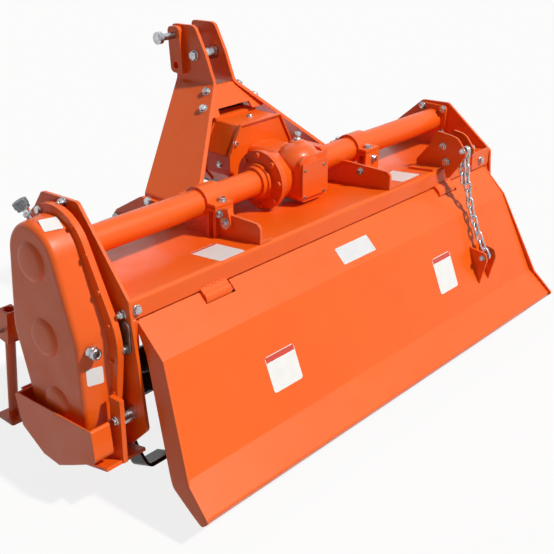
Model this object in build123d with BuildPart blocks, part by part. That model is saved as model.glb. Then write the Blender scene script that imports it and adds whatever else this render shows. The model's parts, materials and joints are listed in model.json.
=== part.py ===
"""Tractor-mounted rotary tiller: three-point linkage, gear-driven rotor, hinged tailgate.

Millimetres. X runs to the right seen from behind, Y forward to the tractor, Z up.
The machine is laid out about its own datum (hitch centreline, tailgate hinge line, ground)
and every piece is moved at the end so that the origin is under the middle of the whole.
"""

from build123d import *
import os
from math import atan2, cos, degrees, pi, radians, sin, sqrt

os.makedirs("parts", exist_ok=True)

# ---------------------------------------------------------------- driving dimensions
inside_half_width = 714          # centreline to the inner face of a side plate
side_plate = 8                   # side plate thickness
hood_sheet = 5                   # hood plate thickness
deck_height = 500                # top of the hood deck at its rear edge
deck_fall = 35                   # how much lower the deck is at its front fold
strip_drop = 50                  # height of the folded strip behind the deck
deck_depth = 330                 # deck, from its rear fold to the front fold
hood_front = 424                 # front wall of the hood
plate_front = 452                # front edge of the side plates, leaning with the stand
front_slope = 67                 # drop of the sloping sheet ahead of the deck
hood_front_bottom = 300

tube_y = 203                     # cross tube and input gear shaft
tube_rise = 59                   # its axis above the deck's rear edge
tube_radius = 34
tube_wall = 6

rotor_y = 157                    # rotor axis
tip_radius = 228                 # swing radius at the tines' leading corners
tine_phases = 4                  # tip positions between two tines of one flange
tines_per_flange = 4
rotor_tube_radius = 42
rotor_gap = 9                    # rotor end plates to the side plates
bearing_flange = (13, 75)        # thickness and radius, on the side plates' outer faces

running_gap = 0.3                # between moving faces that meet

# ---------------------------------------------------------------- derived places
side_plate_out = inside_half_width + side_plate
tip_step = 2 * pi / (tines_per_flange * tine_phases)
rotor_z = tip_radius * cos(tip_step / 2)      # the rotor stands on two rows of tips
strip_bottom = deck_height - strip_drop
tube_z = deck_height + tube_rise
hood_front_top = deck_height - deck_fall - front_slope

pieces = {}                      # node name -> finished part


def deck(y):
    """Height of the deck's top face at y."""
    return deck_height - deck_fall * y / deck_depth


def yz(x):
    """Plane across the machine at x: local axes are Y and Z, the normal is +X."""
    return Plane.YZ.offset(x)


def keep(name, builder):
    """Label a finished sub-part and put it on the list that is written at the end."""
    builder.part.label = name
    pieces[name] = builder.part


def rounded_plate(outline, radii, x, thickness):
    """Flat plate across the machine: outline (y, z), corner radii, from x to x + thickness."""
    with BuildPart() as plate:
        with BuildSketch(yz(x)):
            with BuildLine():
                FilletPolyline(*outline, radius=radii, close=True)
            make_face()
        extrude(amount=thickness)
    return plate.part


def hull_outline(circles, grow=0.0):
    """Face around a column of circles given as (y, z, radius), each grown by grow."""
    with BuildSketch() as outline:
        with BuildLine():
            for y, z, radius in circles:
                CenterArc((y, z), radius + grow, 0, 360)
        make_hull()
    return outline.sketch


def folded_sheet(points, radius, thickness, x0, x1, side=Side.LEFT):
    """Bent sheet: profile points (y, z) folded at radius, thickened to one side, x0 to x1."""
    with BuildPart() as sheet:
        with BuildSketch(yz(x0)):
            with BuildLine():
                FilletPolyline(*points, radius=radius)
                offset(amount=thickness, side=side)
            make_face()
        extrude(amount=x1 - x0)
    return sheet.part


def deck_strip(y0, y1, thickness, x0, x1):
    """Flat strip lying on the sloping deck between y0 and y1."""
    with BuildPart() as strip:
        with BuildSketch(yz(x0)):
            with BuildLine():
                Polyline((y0, deck(y0)), (y1, deck(y1)), (y1, deck(y1) + thickness),
                         (y0, deck(y0) + thickness), close=True)
            make_face()
        extrude(amount=x1 - x0)
    return strip.part


# ---------------------------------------------------------------- hood
hood_profile = [                 # outer skin (y, z), from the strip's lower edge forward
    (0, strip_bottom + 2),
    (0, deck_height),
    (deck_depth, deck(deck_depth)),
    (hood_front, hood_front_top),
    (hood_front, hood_front_bottom),
]
with BuildPart() as hood:
    add(folded_sheet(hood_profile, 9, hood_sheet, -inside_half_width, inside_half_width, Side.RIGHT))
keep("hood_shell", hood)

# side plates: outline (y, z) and corner radius; the two differ above the deck
plate_foot = [
    (plate_front, 288, 30),
    (398, rotor_z - 27.6, 60),
    (255, rotor_z - 95.6, 60),
    (62, rotor_z - 95.6, 20),
    (22, rotor_z - 87.6, 10),
    (-36, rotor_z - 27.6, 16),
]
left_head = [
    (-3, deck_height - 34, 20), (0, deck_height - 3, 12), (151, tube_z + 123, 14),
    (278, tube_z + 117, 14), (330, tube_z + 49, 20), (432, deck_height - 48, 20),
]
right_head = [
    (-8, deck_height - 34, 20), (-6, deck_height - 4, 12), (155, tube_z + 58, 16),
    (250, tube_z + 53, 16), (341, deck_height + 31, 20), (433, deck_height - 56, 20),
]


def side_plate_part(outline, x, hub_radius):
    """Side plate with a round hole for the rotor's bearing and one for the cross tube."""
    with BuildPart() as plate:
        add(rounded_plate([(y, z) for y, z, r in outline], [r for y, z, r in outline], x, side_plate))
        with BuildSketch(yz(x)):
            with Locations((rotor_y, rotor_z)):
                Circle(hub_radius)
            if x < 0:
                with Locations((tube_y, tube_z)):
                    Circle(tube_radius + running_gap)
        extrude(amount=side_plate, mode=Mode.SUBTRACT)
    return plate


hub_radius = 56
keep("side_plate_left", side_plate_part(plate_foot + left_head, -side_plate_out, hub_radius))
keep("side_plate_right", side_plate_part(plate_foot + right_head, inside_half_width, hub_radius))

# ---------------------------------------------------------------- tailgate
seam_z = strip_bottom            # the gate's top edge lies just under the hood's strip
hinge_y = -4.5                   # hinge pin line, just under the gate's top band
hinge_z = seam_z - 17
roll_radius = 17                 # of the hood's tongue, rolled round the pin
pin_radius = 5
gate_sheet = 4
gate_bends = [(1, seam_z - 1.7), (-75, seam_z - 74), (-174, 138), (-244, 76), (-236, 60)]
gate_end_outline = [             # end plate (y, z, corner radius), proud of the panel low down
    (0, seam_z - 2, 2),
    (-77, seam_z - 73, 8),
    (-188, 137, 8),
    (-253, 77, 8),
    (-232, 58, 10),
    (-140, 112, 30),
    (-34, seam_z - 98, 20),
    (6, seam_z - 14, 4),
]
gate_top_half = inside_half_width - 12        # half width of the gate along its hinge
gate_flare = 50                  # how much further each side reaches at the bottom
gate_edge = [                    # outer edge (x, z)
    (gate_top_half, seam_z + 20),
    (gate_top_half, seam_z - 74),
    (gate_top_half + gate_flare - 9, 137),
    (gate_top_half + gate_flare - 2, 77),
    (gate_top_half + gate_flare, 40),
]
end_sheet = 5


def gate_silhouette(inset):
    """Gate seen from behind, its flared edges moved in by inset, as a slab through Y."""
    right = [(x - inset, z) for x, z in gate_edge]
    left = [(-x, z) for x, z in reversed(right)]
    with BuildPart() as slab:
        with BuildSketch(Plane.XZ.offset(-200)):
            with BuildLine():
                Polyline(*right, *left, close=True)
            make_face()
        extrude(amount=600)
    return slab.part


gate_width = 2 * max(x for x, z in gate_edge)
with BuildPart() as gate_panel:
    add(folded_sheet(gate_bends, 7, gate_sheet, -gate_width / 2, gate_width / 2, Side.LEFT))
    add(gate_silhouette(end_sheet), mode=Mode.INTERSECT)

with BuildPart() as gate_ends:
    add(rounded_plate([(y, z) for y, z, r in gate_end_outline], [r for y, z, r in gate_end_outline],
                      -gate_width / 2, gate_width))
    add(gate_silhouette(0), mode=Mode.INTERSECT)
    add(gate_silhouette(end_sheet), mode=Mode.SUBTRACT)
keep("tailgate_end_plates", gate_ends)

# hinges: the hood's rolled tongue stands in a notch of the gate's band, between the gate's knuckles
hinge_middles = [-477, 461]
roll_length = 80
notch_side = 2                   # of the notch past the roll on the left
notch_wide = 12                  # and on the right, where the knuckle shows
notch_radius = 18.6
knuckle_length = 20
knuckle_radius = 10
side_gap = 1
weld_top = 7                     # how far the tongue reaches up the strip


def across(x, length, *shapes):
    """Bar along X about the hinge pin: the first outline less the others."""
    with BuildPart() as bar:
        with BuildSketch(yz(x)):
            for number, shape in enumerate(shapes):
                add(shape, mode=Mode.SUBTRACT if number else Mode.ADD)
        extrude(amount=length)
    return bar.part


def disc_at_pin(radius):
    """Disc about the hinge pin, in its own Y and Z."""
    with BuildSketch() as sketch:
        with Locations((hinge_y, hinge_z)):
            Circle(radius)
    return sketch.sketch


def outline_yz(points):
    """Closed outline (y, z) as a face."""
    with BuildSketch() as sketch:
        with BuildLine():
            Polyline(*points, close=True)
        make_face()
    return sketch.sketch


pin_hole = pin_radius + running_gap
roll_start = -roll_length / 2
knuckle_starts = (roll_start - side_gap - knuckle_length, -roll_start + side_gap)
with BuildPart() as hinge_notches:
    for middle in hinge_middles:
        add(across(middle + roll_start - notch_side, roll_length + notch_side + notch_wide,
                   disc_at_pin(notch_radius)))
        add(across(middle - roll_length, 2 * roll_length, disc_at_pin(pin_hole)))

tongue_outline = outline_yz([
    (hinge_y - 0.82 * roll_radius, hinge_z + 0.57 * roll_radius), (-3, seam_z + weld_top - 2),
    (0, seam_z + weld_top), (0, hinge_z),
])
with BuildPart() as hood_barrels:
    for middle in hinge_middles:
        add(across(middle + roll_start, roll_length, disc_at_pin(roll_radius), disc_at_pin(pin_hole)))
        add(across(middle + roll_start, roll_length, tongue_outline, disc_at_pin(pin_hole)))
    add(hood.part, mode=Mode.SUBTRACT)
keep("hinge_barrels", hood_barrels)

# what lies outside the band's inner face, as one outline through both of its bends
outside_band = outline_yz([(60, seam_z + 60), (1, seam_z - 1.7), (-75, seam_z - 74), (-150, seam_z - 74),
                           (-150, seam_z + 60)])
with BuildPart() as gate_barrels:
    for middle in hinge_middles:
        for start in knuckle_starts:
            add(across(middle + start, knuckle_length, disc_at_pin(knuckle_radius), disc_at_pin(pin_hole),
                       outside_band))
    add(gate_panel.part, mode=Mode.SUBTRACT)
with BuildPart() as notched_panel:
    add(gate_panel.part)
    add(hinge_notches.part, mode=Mode.SUBTRACT)
keep("tailgate_barrels", gate_barrels)
keep("tailgate_panel", notched_panel)

pin_overhang = 3                 # of a hinge pin past the knuckles
pin_from = knuckle_starts[0] - pin_overhang
pin_to = knuckle_starts[1] + knuckle_length + pin_overhang
with BuildPart() as hinge_pins:
    for middle in hinge_middles:
        add(across(middle + pin_from, pin_to - pin_from, disc_at_pin(pin_radius)))
keep("hinge_pins", hinge_pins)

# chain ears on the gate: two triangular plates and their bolt
chain_x = 484
ear_gap = 44                     # between the inner faces of the two ears
ear_plate = 6
ear_bolt = (-158, seam_z - 188)
ear_outline_yz = [(-96, seam_z - 162), (-168, seam_z - 172), (-174, seam_z - 194), (-152, seam_z - 290)]
ear_bolt_radius = 4.5
with BuildPart() as gate_ears:
    for x in (chain_x - ear_gap / 2 - ear_plate, chain_x + ear_gap / 2):
        add(rounded_plate(ear_outline_yz, [2, 12, 12, 4], x, ear_plate))
    add(gate_panel.part, mode=Mode.SUBTRACT)
    with BuildSketch(yz(chain_x - gate_width)):
        with BuildLine():
            Polyline((0, seam_z), *[(y + gate_sheet, z) for y, z in gate_bends[1:3]], (0, 60), close=True)
        make_face()
    extrude(amount=2 * gate_width, mode=Mode.SUBTRACT)
    with BuildSketch(yz(chain_x - ear_gap)):
        with Locations(ear_bolt):
            Circle(ear_bolt_radius)
    extrude(amount=2 * ear_gap, mode=Mode.SUBTRACT)
keep("tailgate_chain_ears", gate_ears)

nut_reach = 8                    # of a bolt past the plates it holds, at each end
ear_bolt_length = ear_gap + 2 * (ear_plate + nut_reach)
with BuildPart() as gate_bolt:
    with BuildSketch(yz(chain_x - ear_bolt_length / 2)):
        with Locations(ear_bolt):
            Circle(ear_bolt_radius)
    extrude(amount=ear_bolt_length)
keep("tailgate_chain_bolt", gate_bolt)

# ---------------------------------------------------------------- chain bracket and chain
bracket_plate = 6
chain_pin = (-60, deck_height + 63)
chain_pin_radius = 4.5
bracket_gap = 36                 # between the two cheeks
cheek_rise = 106                 # top of the cheeks above the deck's rear edge
bracket_base = (4, 88)           # base strip along the deck, from y to y
base_reach = 46                  # of the base strip to the left of the cheeks
left_cheek = [
    (92, deck(92), 2), (92, deck_height + 10, 4), (52, deck_height + 60, 20), (30, deck_height + cheek_rise, 10),
    (-40, deck_height + cheek_rise - 6, 40), (-74, deck_height + 56, 14), (-46, deck_height + 8, 20),
    (-14, deck_height - 37, 8), (-6, deck_height, 2),
]
right_cheek = [
    (60, deck(60), 2), (40, deck_height + 60, 20), (0, deck_height + cheek_rise, 12),
    (-40, deck_height + cheek_rise - 6, 40), (-76, deck_height + 56, 14), (-50, deck_height + 20, 20),
    (-6, deck_height, 2),
]
cheek_xs = (chain_x - bracket_gap / 2 - bracket_plate, chain_x + bracket_gap / 2)
with BuildPart() as chain_bracket:
    for x, outline in zip(cheek_xs, (left_cheek, right_cheek)):
        add(rounded_plate([(y, z) for y, z, r in outline], [r for y, z, r in outline], x, bracket_plate))
    add(deck_strip(*bracket_base, bracket_plate, cheek_xs[0] - base_reach, cheek_xs[1]))
    add(hood.part, mode=Mode.SUBTRACT)
    with BuildSketch(yz(cheek_xs[0])):
        with Locations(chain_pin):
            Circle(chain_pin_radius)
    extrude(amount=2 * ear_gap, mode=Mode.SUBTRACT)
keep("chain_bracket", chain_bracket)

chain_pin_length = bracket_gap + 2 * (bracket_plate + nut_reach)
with BuildPart() as bracket_pin:
    with BuildSketch(yz(chain_x - chain_pin_length / 2)):
        with Locations(chain_pin):
            Circle(chain_pin_radius)
    extrude(amount=chain_pin_length)
keep("chain_pin", bracket_pin)

# chain: links in turn across and along the pin, down a route that bows towards the hood
wire_radius = 3.5
link_inside = 26.0               # length of a link's opening
link_inside_width = 10.4
link_slack = 0.6                 # play between one link and the next
link_count = 12                  # links on the bracket pin; the one round the gate's bolt is left open
pin_slack = 0.3
bow_start, bow_step = 0.73, 2.662    # lean of the first run and what each run adds, degrees
link_pitch = link_inside - link_slack
first_reach = link_inside / 2 - chain_pin_radius - pin_slack


def chain_route():
    """Centre (y, z) and lean of each link, from the pin down."""
    y, z = chain_pin
    centres = []
    runs = [first_reach] + [link_pitch] * (link_count - 1)
    for number, run in enumerate(runs):
        lean = radians(bow_start + bow_step * number)
        y -= run * sin(lean)
        z -= run * cos(lean)
        centres.append((y, z, lean))
    return centres


def chain_link():
    """One link standing along Z in the YZ plane, from a six-sided wire."""
    half_run = (link_inside - link_inside_width) / 2
    bend = link_inside_width / 2 + wire_radius
    with BuildPart() as link:
        with BuildLine(Plane.YZ) as path:
            Line((bend, -half_run), (bend, half_run))
            CenterArc((0, half_run), bend, 0, 180)
            Line((-bend, half_run), (-bend, -half_run))
            CenterArc((0, -half_run), bend, 180, 180)
        with BuildSketch(Plane.XY.offset(-half_run)):
            with Locations((0, bend)):
                RegularPolygon(wire_radius, 6)
        sweep(path=path.wires()[0])
    return link.part


link = chain_link()
link_places = {0: [], 1: []}     # even links stand in the YZ plane, odd ones are turned across it
for number, (y, z, lean) in enumerate(chain_route()):
    turn = 90 * (number % 2)
    place = Location((chain_x, y, z), (-degrees(lean), 0, 0)) * Location((0, 0, 0), (0, 0, turn))
    link_places[number % 2].append(place)
with BuildPart() as chain_links:
    with Locations(*link_places[0]):
        add(link)
    with Locations(*link_places[1]):
        add(link)
keep("chain_links", chain_links)

# ---------------------------------------------------------------- cross tube and its brackets
flange_thick = 12                # tube flanges at the gearbox and at the right side plate
gear_back_in = side_plate_out + bearing_flange[0]     # inner face of the gear case's back plate
gear_back_plate = 8
gearbox_left = -102              # outer faces of the gearbox, left disc and right flange
gearbox_right = 100
collars = [(130, 42), (116, 47)]     # stepped collars: distance from the centreline, radius


def tube_ring(x0, x1):
    """Length of the cross tube from x0 to x1."""
    with BuildPart() as ring:
        with BuildSketch(yz(x0)):
            with Locations((tube_y, tube_z)):
                Circle(tube_radius)
                Circle(tube_radius - tube_wall, mode=Mode.SUBTRACT)
        extrude(amount=x1 - x0)
    return ring.part


with BuildPart() as tube_left:
    add(tube_ring(-gear_back_in, gearbox_left))
    for reach, radius in collars:
        with BuildSketch(yz(-reach)):
            with Locations((tube_y, tube_z)):
                Circle(radius)
                Circle(tube_radius, mode=Mode.SUBTRACT)
        extrude(amount=reach + gearbox_left)
keep("axle_tube_left", tube_left)

with BuildPart() as tube_right:
    add(tube_ring(gearbox_right + flange_thick, inside_half_width - flange_thick))
    for x, width, height in ((gearbox_right, 104, 112), (inside_half_width - flange_thick, 96, 96)):
        with BuildSketch(yz(x)):
            with Locations((tube_y, tube_z)):
                RectangleRounded(width, height, 12)
        extrude(amount=flange_thick)
keep("axle_tube_right", tube_right)

# half-shell clamps over the tube and the saddles that they bolt to
clamp_middles = [-300, 300]
clamp_width = 62
clamp_wall = 8
clamp_lip = 24                   # flat lips before and behind the tube
clamp_split = 2                  # gap between the lips of clamp and saddle
lip_half = tube_radius + clamp_wall + clamp_lip


def clamp_face(side):
    """Half ring with two lips in the YZ plane: side +1 above the tube's axis, -1 below."""
    lip_middle = tube_z + side * (clamp_split / 2 + clamp_wall / 2)
    with BuildSketch() as face:
        with Locations((tube_y, tube_z)):
            Circle(tube_radius + clamp_wall)
        with Locations((tube_y, lip_middle)):
            Rectangle(2 * lip_half, clamp_wall)
        with Locations((tube_y, tube_z)):
            Circle(tube_radius, mode=Mode.SUBTRACT)
        with Locations((tube_y, tube_z - side * (100 - clamp_split / 2))):
            Rectangle(400, 200, mode=Mode.SUBTRACT)
    return face.sketch


with BuildPart() as tube_clamps:
    for middle in clamp_middles:
        with BuildSketch(yz(middle - clamp_width / 2)):
            add(clamp_face(1))
        extrude(amount=clamp_width)
keep("tube_clamps", tube_clamps)

# hood brackets: a saddle half, its leg down to the deck, and a long gusset to the deck's rear edge
gusset = 8
gusset_height = 50
gusset_outline = [
    (3, deck(3), 1), (3, deck(3) + gusset_height, 16), (160, deck_height + gusset_height, 6),
    (250, deck_height + gusset_height / 2 - 1, 6), (262, deck(262), 1),
]
bracket_table = [                # clamp's middle, gusset's left face, far edge of the base strip
    (clamp_middles[0], -316, -276),
    (clamp_middles[1], 201, 331),
]
leg_ys = [tube_y - lip_half, tube_y - tube_radius - clamp_wall]  # rear faces of the two legs
with BuildPart() as hood_brackets:
    for middle, gusset_x, strip_end in bracket_table:
        with BuildSketch(yz(middle - clamp_width / 2)):
            add(clamp_face(-1))
            for leg_y in leg_ys:
                with BuildLine():
                    Polyline((leg_y, deck(leg_y)), (leg_y + clamp_wall, deck(leg_y + clamp_wall)),
                             (leg_y + clamp_wall, tube_z - clamp_split), (leg_y, tube_z - clamp_split), close=True)
                make_face()
        extrude(amount=clamp_width)
        add(rounded_plate([(y, z) for y, z, r in gusset_outline], [r for y, z, r in gusset_outline], gusset_x, gusset))
        add(deck_strip(4, 258, gusset, gusset_x, strip_end))
    with BuildSketch(yz(-inside_half_width)):
        with Locations((tube_y, tube_z)):
            Circle(tube_radius)
    extrude(amount=2 * inside_half_width, mode=Mode.SUBTRACT)
    add(tube_clamps.part, mode=Mode.SUBTRACT)
keep("hood_brackets", hood_brackets)

# ---------------------------------------------------------------- gearbox
gearbox_x = 10                   # middle of the bevel gearbox and its input shaft
disc_radius = 79
disc_thick = 16
body_rear, body_front = 118, 300
neck_radius = 50
neck_end = 324
neck_flange = (306, 64)          # face (y) that the guard's plate bolts to, and its radius
shaft_radius = 17.46             # 1 3/8 inch input spline
shaft_end = 396
shaft_core = 14.5
shaft_seat = 250                 # depth that the shaft reaches back to in the housing

with BuildPart() as gearbox:
    with BuildSketch(yz(gearbox_left)):
        with Locations((tube_y, tube_z)):
            Circle(disc_radius)
    extrude(amount=disc_thick / 2 - 1)
    with BuildSketch(yz(gearbox_left)):
        with Locations((tube_y, tube_z)):
            Circle(disc_radius - 4)
    extrude(amount=disc_thick)
    with BuildSketch(yz(gearbox_left + disc_thick / 2 + 1)):
        with Locations((tube_y, tube_z)):
            Circle(disc_radius - 1)
    extrude(amount=disc_thick / 2 + 1)
    with BuildSketch(yz(gearbox_left + disc_thick + 2)):
        with Locations((tube_y, tube_z)):
            Circle(disc_radius - 9)
    with BuildSketch(yz(gearbox_x - 44)):
        with Locations((tube_y, tube_z)):
            Circle(62)
    loft()
    with BuildSketch(Plane.XZ.offset(-body_rear)):
        with Locations((gearbox_x + 4, tube_z)):
            RectangleRounded(108, 124, 23)
    extrude(amount=-(body_front - body_rear))
    with BuildSketch(yz(gearbox_x + 50)):
        with Locations((tube_y, tube_z)):
            Circle(56)
    extrude(amount=gearbox_right - gearbox_x - 50)
    with BuildSketch(yz(gearbox_right - 12)):
        with Locations((tube_y, tube_z)):
            RectangleRounded(104, 112, 12)
    extrude(amount=12)
    with BuildSketch(Plane.XZ.offset(-body_rear - 100)):
        with Locations((gearbox_x, tube_z)):
            Circle(neck_radius)
    extrude(amount=-(neck_end - body_rear - 100))
    with BuildSketch(Plane.XZ.offset(-(neck_flange[0] - 10))):
        with Locations((gearbox_x, tube_z)):
            Circle(neck_flange[1])
    extrude(amount=-10)
    with BuildSketch(Plane.XY.offset(tube_z + 55)):
        with Locations((gearbox_x + 8, 178)):
            Circle(17)
    extrude(amount=24)
    with BuildSketch(Plane.XY.offset(deck(tube_y) + 8)):
        with Locations((gearbox_x, tube_y)):
            Circle(20)
    extrude(amount=20)
    with BuildSketch(Plane.XZ.offset(-shaft_seat)):
        with Locations((gearbox_x, tube_z)):
            Circle(shaft_radius + running_gap)
    extrude(amount=-(shaft_end - shaft_seat), mode=Mode.SUBTRACT)
keep("gearbox_housing", gearbox)

cover_thick = 8
with BuildPart() as gearbox_cover:
    with BuildSketch(Plane.XZ.offset(-(body_rear - cover_thick))):
        with Locations((gearbox_x + 4, tube_z)):
            RectangleRounded(103, 96, 8)
    extrude(amount=-cover_thick)
keep("gearbox_cover", gearbox_cover)

with BuildPart() as input_shaft:
    with BuildSketch(Plane.XZ.offset(-(shaft_seat + running_gap))):
        with Locations((gearbox_x, tube_z)):
            Circle(shaft_radius)
    extrude(amount=-(shaft_end - shaft_seat - running_gap))
    with BuildSketch(Plane.XZ.offset(-neck_end - 4)):
        with Locations((gearbox_x, tube_z)):
            with PolarLocations(shaft_radius, 6):
                Rectangle(2 * (shaft_radius - shaft_core), 9)
    extrude(amount=-(shaft_end - neck_end - 4), mode=Mode.SUBTRACT)
keep("pto_input_shaft", input_shaft)

# guard round the input shaft: folded sheet on a plate with a hole for the neck
guard_sheet = 4
shield_front = 402
shield_half = 119
shield_right = [(92, tube_z - 45), (shield_half, tube_z - 12), (shield_half, tube_z + 43), (77, tube_z + 119)]
shield_outline = [(-x, z) for x, z in shield_right] + [(x, z) for x, z in reversed(shield_right)]
with BuildPart() as shield:
    with BuildSketch(Plane.XZ.offset(-neck_flange[0])):
        with BuildLine():
            Polyline(*[(gearbox_x + x, z) for x, z in shield_outline], close=True)
        make_face()
        with Locations((gearbox_x, tube_z)):
            Circle(neck_radius + running_gap, mode=Mode.SUBTRACT)
    extrude(amount=-guard_sheet)
    with BuildSketch(Plane.XZ.offset(-neck_flange[0])):
        with BuildLine():
            FilletPolyline(*[(gearbox_x + x, z) for x, z in shield_outline], radius=6)
            offset(amount=guard_sheet, side=Side.RIGHT)
        make_face()
    extrude(amount=-(shield_front - neck_flange[0]))
keep("pto_shield", shield)

# ---------------------------------------------------------------- gear case on the left
idler_y = 183
idler_drop = 6                   # idler below the middle between the two shafts
idler_z = (tube_z + rotor_z) / 2 - idler_drop
case_centres = [(tube_y, tube_z), (idler_y, idler_z), (rotor_y, rotor_z)]     # input, idler, rotor
flange_radii = (112, 172, 126)
root_radii = (92, 140, 116)
face_radii = (85, 118, 99)
case_flange = 8
case_depth = 64                  # cover, from its flange to its face
case_round = 14                  # edge radius of the face
boss_radius = 43
boss_proud = 3
case_in = gear_back_in + gear_back_plate + case_flange
case_out = case_in + case_depth


def case_outline(radii):
    """Outline round the three gears with the given radii, one for each."""
    return hull_outline([(y, z, r) for (y, z), r in zip(case_centres, radii)])


with BuildPart() as case_back:
    with BuildSketch(yz(-gear_back_in)):
        add(case_outline(flange_radii))
    extrude(amount=-gear_back_plate)
keep("gear_case_back", case_back)

with BuildPart() as case_cover:
    with BuildSketch(yz(-case_in)):
        add(case_outline(flange_radii))
    extrude(amount=case_flange)
    with BuildSketch(yz(-case_in)):
        add(case_outline(root_radii))
    with BuildSketch(yz(-case_out)):
        add(case_outline(face_radii))
    loft()
    fillet(case_cover.faces().sort_by(Axis.X)[0].edges(), case_round)
    for centre in case_centres:
        with BuildSketch(yz(-case_out + 1)):
            with Locations(centre):
                Circle(boss_radius)
        extrude(amount=-(boss_proud + 1))
keep("gear_case_cover", case_cover)

cap_place = {"x": 33 - case_out, "lean": 67, "tip": 18}     # lean in the YZ plane, tip outwards
cap_seat = 88                    # distance from the input axis to the foot of the filler neck
with BuildPart() as filler:
    lean, tip = radians(cap_place["lean"]), radians(cap_place["tip"])
    up = Vector(-sin(tip), cos(lean) * cos(tip), sin(lean) * cos(tip))
    foot = Vector(cap_place["x"], tube_y, tube_z) + cap_seat * Vector(0, cos(lean), sin(lean)) - 12 * up
    for start, length, radius in ((0, 44, 7), (36, 8, 15), (44, 14, 17)):
        with BuildSketch(Plane(origin=foot + start * up, x_dir=(1, 0, 0), z_dir=up)):
            Circle(radius)
        extrude(amount=length)
    add(case_cover.part, mode=Mode.SUBTRACT)
keep("filler_cap", filler)

plug_x, plug_z = 25 - case_out, idler_z + 4
plug_face = 31                   # outer end of the sight plug (y)
with BuildPart() as sight_plug:
    for start, end, radius, sides in ((plug_face, 40, 13, 0), (40, 50, 16, 6), (50, 90, 11, 0)):
        with BuildSketch(Plane.XZ.offset(-start)):
            with Locations((plug_x, plug_z)):
                if sides:
                    RegularPolygon(radius, sides)
                else:
                    Circle(radius)
        extrude(amount=-(end - start))
    add(case_cover.part, mode=Mode.SUBTRACT)
keep("sight_plug", sight_plug)

# ---------------------------------------------------------------- mast and hitch
mast_sheet = 10
mast_gap = 64                    # between the upper plates, where the top link goes
mast_foot = 299                  # outer face of the foot from the centreline
mast_bend = deck_height + 265
mast_foot_top = deck_height + 20
mast_top = deck_height + 440
mast_foot_low = deck_height - 100
mast_out = mast_gap / 2 + mast_sheet
mast_fold = [(mast_out, mast_top), (mast_out, mast_bend), (mast_foot, mast_foot_top), (mast_foot, mast_foot_low)]
mast_side = [                    # outline from the side (y, z, corner radius)
    (228, deck_height + 3, 8), (428, mast_bend, 30), (460, mast_bend + 77, 30), (500, mast_top - 26, 24),
    (590, mast_top - 30, 12), (574, mast_bend, 30), (436, mast_foot_top, 20), (434, deck_height - 70, 6),
    (hood_front - 6, hood_front_top + 10, 2), (deck_depth, deck(deck_depth) + 1, 2), (272, deck(272) + 1, 2),
    (268, deck_height + 3, 2),
]
mast_bolt = (500, mast_bend + 69)
top_pin = (566, mast_bend + 117)
lower_top_hole = (561, mast_bend + 36)
top_pin_radius = 9.5
with BuildPart() as mast_right:
    with BuildSketch(Plane.XZ):
        with BuildLine():
            FilletPolyline(*mast_fold, radius=16)
            offset(amount=mast_sheet, side=Side.RIGHT)
        make_face()
    extrude(amount=-800)
    with BuildSketch(yz(0)):
        with BuildLine():
            FilletPolyline(*[(y, z) for y, z, r in mast_side], radius=[r for y, z, r in mast_side], close=True)
        make_face()
    extrude(amount=mast_foot + mast_sheet, mode=Mode.INTERSECT)
    with BuildSketch(yz(0)):
        with Locations(top_pin, lower_top_hole):
            Circle(top_pin_radius)
    extrude(amount=mast_out, mode=Mode.SUBTRACT)
keep("mast_plate_right", mast_right)

with BuildPart() as mast_left:
    add(mast_right.part)
    mirror(about=Plane.YZ, mode=Mode.REPLACE)
keep("mast_plate_left", mast_left)

# plate between the mast plates, leaning with their rear edges under the bend
cross_plate = 8
cross_low, cross_high = (384, mast_bend - 76), (430, mast_bend - 4)       # its rear face (y, z)
cross_arch = mast_bend - 58
arch_half = 60
with BuildPart() as mast_cross:
    with BuildSketch(yz(-mast_foot)):
        with BuildLine():
            Polyline(cross_low, cross_high, (cross_high[0] + cross_plate, cross_high[1]),
                     (cross_low[0] + cross_plate, cross_low[1]), close=True)
        make_face()
    extrude(amount=2 * mast_foot)
    with BuildSketch(Plane.XZ.offset(-300)):
        with BuildLine():
            Polyline((mast_out, mast_top), (mast_out, mast_bend), (mast_foot, mast_foot_top),
                     (mast_foot, mast_foot_low), (2 * mast_foot, mast_foot_low), (2 * mast_foot, mast_top), close=True)
        make_face()
        mirror(about=Plane.YZ)
        with BuildLine():
            Polyline((-arch_half - 8, cross_low[1] - 20), (-arch_half, cross_arch), (arch_half, cross_arch),
                     (arch_half + 8, cross_low[1] - 20), close=True)
        make_face()
    extrude(amount=-300, mode=Mode.SUBTRACT)
    add(mast_right.part, mode=Mode.SUBTRACT)
    add(mast_left.part, mode=Mode.SUBTRACT)
keep("mast_cross_plate", mast_cross)

sleeve_radius = 19
with BuildPart() as mast_spacer:
    with BuildSketch(yz(-mast_gap / 2)):
        with Locations(mast_bolt):
            Circle(sleeve_radius)
    extrude(amount=mast_gap)
keep("mast_spacer", mast_spacer)

# ears outside the mast plates, drilled with them for the top-link pin
ear_thick = 16
ear_outline = [
    (533, mast_bend + 12, 8), (581, mast_bend + 16, 14), (591, mast_top - 35, 14), (546, mast_top - 32, 14),
]
with BuildPart() as mast_ears:
    for x in (-mast_out - ear_thick, mast_out):
        add(rounded_plate([(y, z) for y, z, r in ear_outline], [r for y, z, r in ear_outline], x, ear_thick))
    with BuildSketch(yz(-mast_out - ear_thick)):
        with Locations(top_pin, lower_top_hole):
            Circle(top_pin_radius)
    extrude(amount=2 * (mast_out + ear_thick), mode=Mode.SUBTRACT)
keep("mast_ears", mast_ears)

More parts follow.
